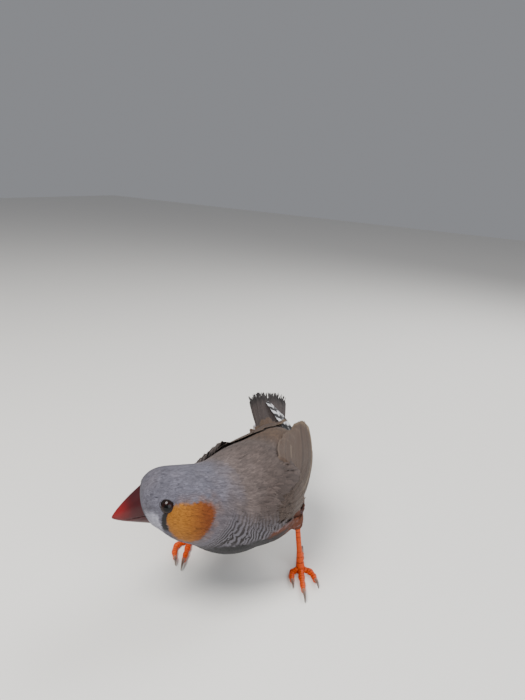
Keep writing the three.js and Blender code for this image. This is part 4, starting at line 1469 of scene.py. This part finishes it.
# Legs and claws
def shank_curve(leg):
    (hx, hy), (px, py) = leg["hock"], leg["palm"]
    middle = ((hx + px) / 2, (hy + py) / 2 + 0.2, HOCK_HEIGHT / 2)
    return smooth_curve(np.array([(hx, hy, HOCK_HEIGHT + 0.6), middle, (px, py, 0.5)]) + ORIGIN, 60)


def toe_ways(leg, toe):
    angle = math.radians(leg["points"] + leg["spread"][toe])
    return np.array((math.sin(angle), -math.cos(angle), 0)), np.array((math.cos(angle), math.sin(angle), 0))


def toe_curve(leg, toe):
    ahead, aside = toe_ways(leg, toe)
    bow = 0 if toe == "hind" else leg["bow"] * np.sign(leg["spread"][toe])
    start = np.array((*leg["palm"], TOE_AXIS_HEIGHT)) + ORIGIN
    knots = [start + ahead * share * leg["toes"][toe] + aside * bow * math.sin(math.pi * share**0.7)
             for share in (0.06, 0.3, 0.6, 1)]
    return smooth_curve(knots, 50, straight_ends=True)


def claw_object(side, leg, toe):
    rows, sides = 40, 20
    curve = toe_curve(leg, toe)
    ahead = unit(curve[-1] - curve[-4])
    start = curve[45]
    reach = CLAW_LENGTHS[toe] + np.linalg.norm(curve[-1] - start)
    heights = ((0, 0.72), (0.4, 1.05), (0.75, 0.86), (1.0, 0.22))
    points = [np.array((*(start + ahead * reach * share)[:2], height)) for share, height in heights]
    line = smooth_curve(points, rows)
    t = np.linspace(0, 1, rows)
    radii = (0.47 - 0.37 * t**1.15) * np.sqrt(np.clip(1 - (2 * t - 1) ** 16, 0.02, 1))
    corners, faces = tube(line, radii, sides)
    name = "claw_" + toe + "_" + side
    obj = mesh_object(name + "_horn", corners, faces)
    share = np.concatenate([np.repeat(t, sides), [0, 1]])
    around = np.concatenate([np.tile(np.linspace(0, 1, sides, endpoint=False), rows), [0, 0]])
    add_uv(obj, "OFBake", np.stack([around * 0.9 + 0.05, share * 0.9 + 0.05], 1))
    add_tint(obj, blend(CLAW_ROOT, CLAW_TIP, smooth(share, 0.0, 0.65)))
    finish_piece(obj, "claw", CLAW, name)


def leg_object(side, leg):
    tubes = []
    shank = shank_curve(leg)
    t = np.linspace(0, 1, len(shank))
    hock = 0.22 * np.exp(-((t - 0.04) / 0.07) ** 2)
    radii = 0.80 - 0.16 * smooth(t, 0, 0.3) + 0.42 * smooth(t, 0.58, 0.98) + hock
    tubes.append(tube(shank, radii, 32))
    toes = {toe: toe_curve(leg, toe) for toe in leg["toes"]}
    for toe, curve in toes.items():
        s = np.linspace(0, 1, len(curve))
        swell = 1 + 0.1 * np.cos(2 * math.pi * 3 * s)
        ends = np.sqrt(np.clip(1 - ((s - 0.5) / 0.52) ** 12, 0.1, 1))
        tubes.append(tube(curve, TOE_RADIUS * (1.02 - 0.27 * s) * ends * swell, 24))
    obj = joined("leg_" + side, tubes, 0.13, 3)
    corners = corners_of(obj.data)
    normals = rows_of(obj.data.vertices, "normal")
    # Scutes: plates across the front of the shank and the tops of the toes
    on_shank = nearest(shank, corners) / (len(shank) - 1) * np.linalg.norm(shank[-1] - shank[0])
    ahead, _ = toe_ways(leg, "middle")
    front = smooth(normals @ ahead, -0.55, 0.1)
    shank_groove = 1 - smooth(np.abs((on_shank / SHANK_SCUTE) % 1 - 0.5), 0.03, 0.10)
    grooves = np.where(corners[:, 2] > 1.6, shank_groove * (0.35 + 0.65 * front), 0)
    for curve in toes.values():
        index = nearest(curve, corners)
        gap = np.linalg.norm(corners - curve[index], axis=1)
        on_toe = index / (len(curve) - 1) * np.linalg.norm(curve[-1] - curve[0])
        groove = 1 - smooth(np.abs((on_toe / TOE_SCUTE) % 1 - 0.5), 0.05, 0.14)
        groove = groove * smooth(normals[:, 2], -0.2, 0.3)
        mine = (gap < 1.0) & (corners[:, 2] < 1.7)
        grooves = np.where(mine, groove, grooves)
    corners = corners - normals * (0.055 * grooves)[:, None]
    pebbles = noise(corners, 0.5, 31)
    corners = corners + normals * (0.015 * pebbles * (corners[:, 2] < 1.0))[:, None]
    corners[:, 2] = np.maximum(corners[:, 2], 0.0)
    move_corners(obj, corners)
    colour = blend(LEG_ORANGE, LEG_GROOVE, np.clip(grooves, 0, 1))
    colour = colour * (0.92 + 0.16 * (noise(corners, 1.4, 32)[:, None] * 0.5 + 0.5))
    add_tint(obj, colour)
    middle = np.array((*leg["palm"], 0)) + ORIGIN
    around = np.arctan2(corners[:, 1] - middle[1], corners[:, 0] - middle[0]) / (2 * math.pi) + 0.5
    add_uv(obj, "OFBake", np.clip(np.stack([around, corners[:, 2] / 15], 1), 0.01, 0.99))
    replaced = ["shank_" + side] + ["toe_" + toe + "_" + side for toe in leg["toes"]]
    finish_piece(obj, "leg", LEG, *replaced)


def tinted_material(name, roughness, bump_scale, bump_depth, **sockets):
    """Tinted horn, skin or eye with a fine grain."""
    material, tree, shader = material_of(name, roughness, **sockets)
    grain = grain_of(tree, bump_scale)
    shade = math_node(tree, "MULTIPLY_ADD", grain, 0.3, 0.85)
    give_colour(tree, shader, attribute(tree, "Tint", "Color"), shade)
    give_bump(tree, shader, grain, 0.4, bump_depth)
    return material


LEG = tinted_material("leg", 0.5, 2200.0, 0.04,
                      Subsurface_Weight=0.15, Subsurface_Scale=0.0008, Specular_IOR_Level=0.25)
CLAW = tinted_material("claw", 0.35, 900.0, 0.02)
BILL = tinted_material("bill", 0.38, 700.0, 0.02,
                       Subsurface_Weight=0.1, Subsurface_Scale=0.001, Specular_IOR_Level=0.3)
EYE = tinted_material("eye", 0.05, 900.0, 0.0, Specular_IOR_Level=0.2)
for side, leg in LEGS.items():
    leg_object(side, leg)
    for toe in leg["toes"]:
        claw_object(side, leg, toe)


# Bill, cut along the gape
def make_bill():
    steps, sides = 90, 72
    t = np.sin(np.linspace(0, math.pi / 2, steps))
    reach = t * (BILL_LENGTH + BILL_ROOT)
    beyond = np.maximum(0, (reach - BILL_ROOT) / BILL_LENGTH)
    swell = (1 - np.minimum(beyond, 1)) ** 0.78 + 0.03
    theta = np.linspace(0, 2 * math.pi, sides, endpoint=False)
    up, out = np.cos(theta), np.sin(theta)
    ridge = 1 + 0.035 * np.exp(-(theta / 0.25) ** 2) + 0.035 * np.exp(-((theta - 2 * math.pi) / 0.25) ** 2)
    x = (BILL_WIDTH / 2 * swell**1.12)[:, None] * out * (1 - 0.10 * np.maximum(up, 0) ** 2)
    z = BILL_BASE_Z - (BILL_DROOP * beyond**1.5)[:, None] + (BILL_DEPTH / 2 * swell)[:, None] * up * ridge
    y = np.broadcast_to((BILL_BASE_Y + BILL_ROOT - reach)[:, None], x.shape)
    rings = np.stack([x, y, z], -1)
    corners = np.concatenate([rings.reshape(-1, 3), rings[:1].mean(1), rings[-1:].mean(1)])
    for name, sign in (("bill_upper", 1), ("bill_lower", -1)):
        obj = mesh_object(name + "_horn", corners, ring_faces(steps, sides))
        cut = bmesh.new()
        cut.from_mesh(obj.data)
        way = Vector((0, -GAPE_SLOPE, 1)).normalized()
        place = Vector((0, BILL_BASE_Y, BILL_BASE_Z - GAPE_BELOW)) + way * sign * GAPE_GAP / 2
        made = bmesh.ops.bisect_plane(cut, geom=cut.verts[:] + cut.edges[:] + cut.faces[:], dist=1e-7,
                                      plane_co=place * MM, plane_no=way * sign, clear_inner=True)
        rim = [e for e in made["geom_cut"] if isinstance(e, bmesh.types.BMEdge)]
        bmesh.ops.edgeloop_fill(cut, edges=rim)
        bmesh.ops.recalc_face_normals(cut, faces=cut.faces)
        cut.to_mesh(obj.data)
        cut.free()
        own = corners_of(obj.data)
        colour = bill_colour(own)
        # The nostrils are shallow pits coloured dark with painted shade
        for nostril in (1, -1):
            spot = np.linalg.norm(own - (nostril * 1.75, BILL_BASE_Y - 0.9, BILL_BASE_Z + 3.3), axis=1)
            pit = np.exp(-((spot / 0.34) ** 2)) if sign > 0 else 0 * spot
            own = own - np.array((nostril * 0.5, 0, 0.5)) * pit[:, None]
            colour = blend(colour, NOSTRIL_SHADE, np.clip(pit * 1.3, 0, 1))
        move_corners(obj, out_of(HEAD, own))
        add_tint(obj, colour)
        around = np.arctan2(own[:, 0], own[:, 2]) / (2 * math.pi) + 0.5
        add_uv(obj, "OFBake", np.clip(np.stack([around, -own[:, 1] / 16], 1), 0.01, 0.99))
        finish_piece(obj, "bill", BILL, name)


def bill_colour(p):
    """Red, with painted shade darkening it towards the base and the lower mandible."""
    # Painted shade: darker towards the base and on the lower mandible
    base_shade = smooth(p[:, 1], BILL_BASE_Y - 8.6, BILL_BASE_Y - 3.4)
    colour = blend(BILL_TIP, BILL_SHADED_BASE, base_shade)
    lower = 1 - smooth(p[:, 2], BILL_BASE_Z - 2.2, BILL_BASE_Z + 0.4)
    colour = blend(colour, BILL_SHADED_UNDERSIDE, 0.6 * lower)
    return colour * (0.94 + 0.12 * (noise(p, 1.8, 41)[:, None] * 0.5 + 0.5))


make_bill()


# Eyes: brown iris, dark pupil and a domed front
def make_eye(side):
    centre, out = EYES[side]
    rise = unit(np.cross(np.cross(out, (0, 0, 1.0)), out))
    aside = np.cross(rise, out)
    rows, sides = 48, 48
    polar = np.linspace(0.0, math.pi, rows)[1:-1]
    around = np.linspace(0, 2 * math.pi, sides, endpoint=False)
    radius = EYE_RADIUS * (1 + EYE_DOME * np.exp(-(polar / 0.55) ** 2))
    ring = np.sin(polar)[:, None, None] * (
        np.cos(around)[None, :, None] * aside + np.sin(around)[None, :, None] * rise)
    ball = centre + radius[:, None, None] * (ring + np.cos(polar)[:, None, None] * out)
    ends = [centre + out * EYE_RADIUS * (1 + EYE_DOME), centre - out * EYE_RADIUS]
    corners = np.concatenate([ball.reshape(-1, 3), ends])
    faces = [group[:, ::-1] for group in ring_faces(len(polar), sides)]
    obj = mesh_object("eyeball_" + side, corners, faces)
    angle = np.concatenate([np.repeat(polar, sides), [0, math.pi]])
    colour = blend(PUPIL, IRIS, smooth(angle, 0.40, 0.46))
    colour = blend(colour, IRIS_RIM, smooth(angle, 0.70, 0.80))
    add_tint(obj, colour)
    places = np.stack([np.tile(around / 6.3, len(polar)), np.repeat(polar / 3.2, sides)], 1)
    add_uv(obj, "OFBake", np.concatenate([places, [(0, 0), (0, 1)]]) * 0.9 + 0.05)
    finish_piece(obj, "eye", EYE, "eye_" + side)


for side in EYES:
    make_eye(side)

# Floor, light and camera
FLOOR_CORNERS = FLOOR_HALF * np.array([(-1, -1, 0), (1, -1, 0), (1, 1, 0), (-1, 1, 0)])
floor = mesh_object("floor", FLOOR_CORNERS, [np.array([[0, 1, 2, 3]])])
floor_material, _, _ = material_of("floor", 0.8, Base_Color=(0.80, 0.785, 0.75, 1))
floor.data.materials.append(floor_material)


def area_light(name, place, target, size, power, colour):
    light = bpy.data.lights.new(name, "AREA")
    light.shape = "DISK"
    light.size = size * MM
    light.energy = power
    light.color = colour
    obj = bpy.data.objects.new(name, light)
    obj.location = Vector(place) * MM
    obj.rotation_euler = (Vector(target) - Vector(place)).to_track_quat("-Z", "Y").to_euler()
    bpy.context.scene.collection.objects.link(obj)


area_light("key", (-60, -200, 380), (0, 0, 18), 240, 2.5, (1.0, 0.98, 0.95))
area_light("fill", (260, -160, 160), (0, 0, 18), 300, 0.7, (0.93, 0.96, 1.0))
area_light("rear", (60, 280, 260), (0, 0, 18), 220, 0.8, (1.0, 1.0, 1.0))
world = bpy.data.worlds.new("room")
world.use_nodes = True
world.node_tree.nodes["Background"].inputs[0].default_value = (0.92, 0.94, 1.0, 1)
world.node_tree.nodes["Background"].inputs[1].default_value = 0.28
bpy.context.scene.world = world

lens = bpy.data.cameras.new("camera")
lens.lens = CAMERA_LENS
lens.sensor_width = CAMERA_SENSOR
lens.clip_start = 0.005
camera = bpy.data.objects.new("camera", lens)
turn = Matrix.Rotation(math.radians(CAMERA_TURN), 4, "Z")
dip = Matrix.Rotation(math.radians(90 - CAMERA_DIP), 4, "X")
roll = Matrix.Rotation(math.radians(CAMERA_ROLL), 4, "Z")
camera.matrix_world = Matrix.Translation(Vector(CAMERA_PLACE) * MM) @ turn @ dip @ roll
bpy.context.scene.collection.objects.link(camera)
bpy.context.scene.camera = camera
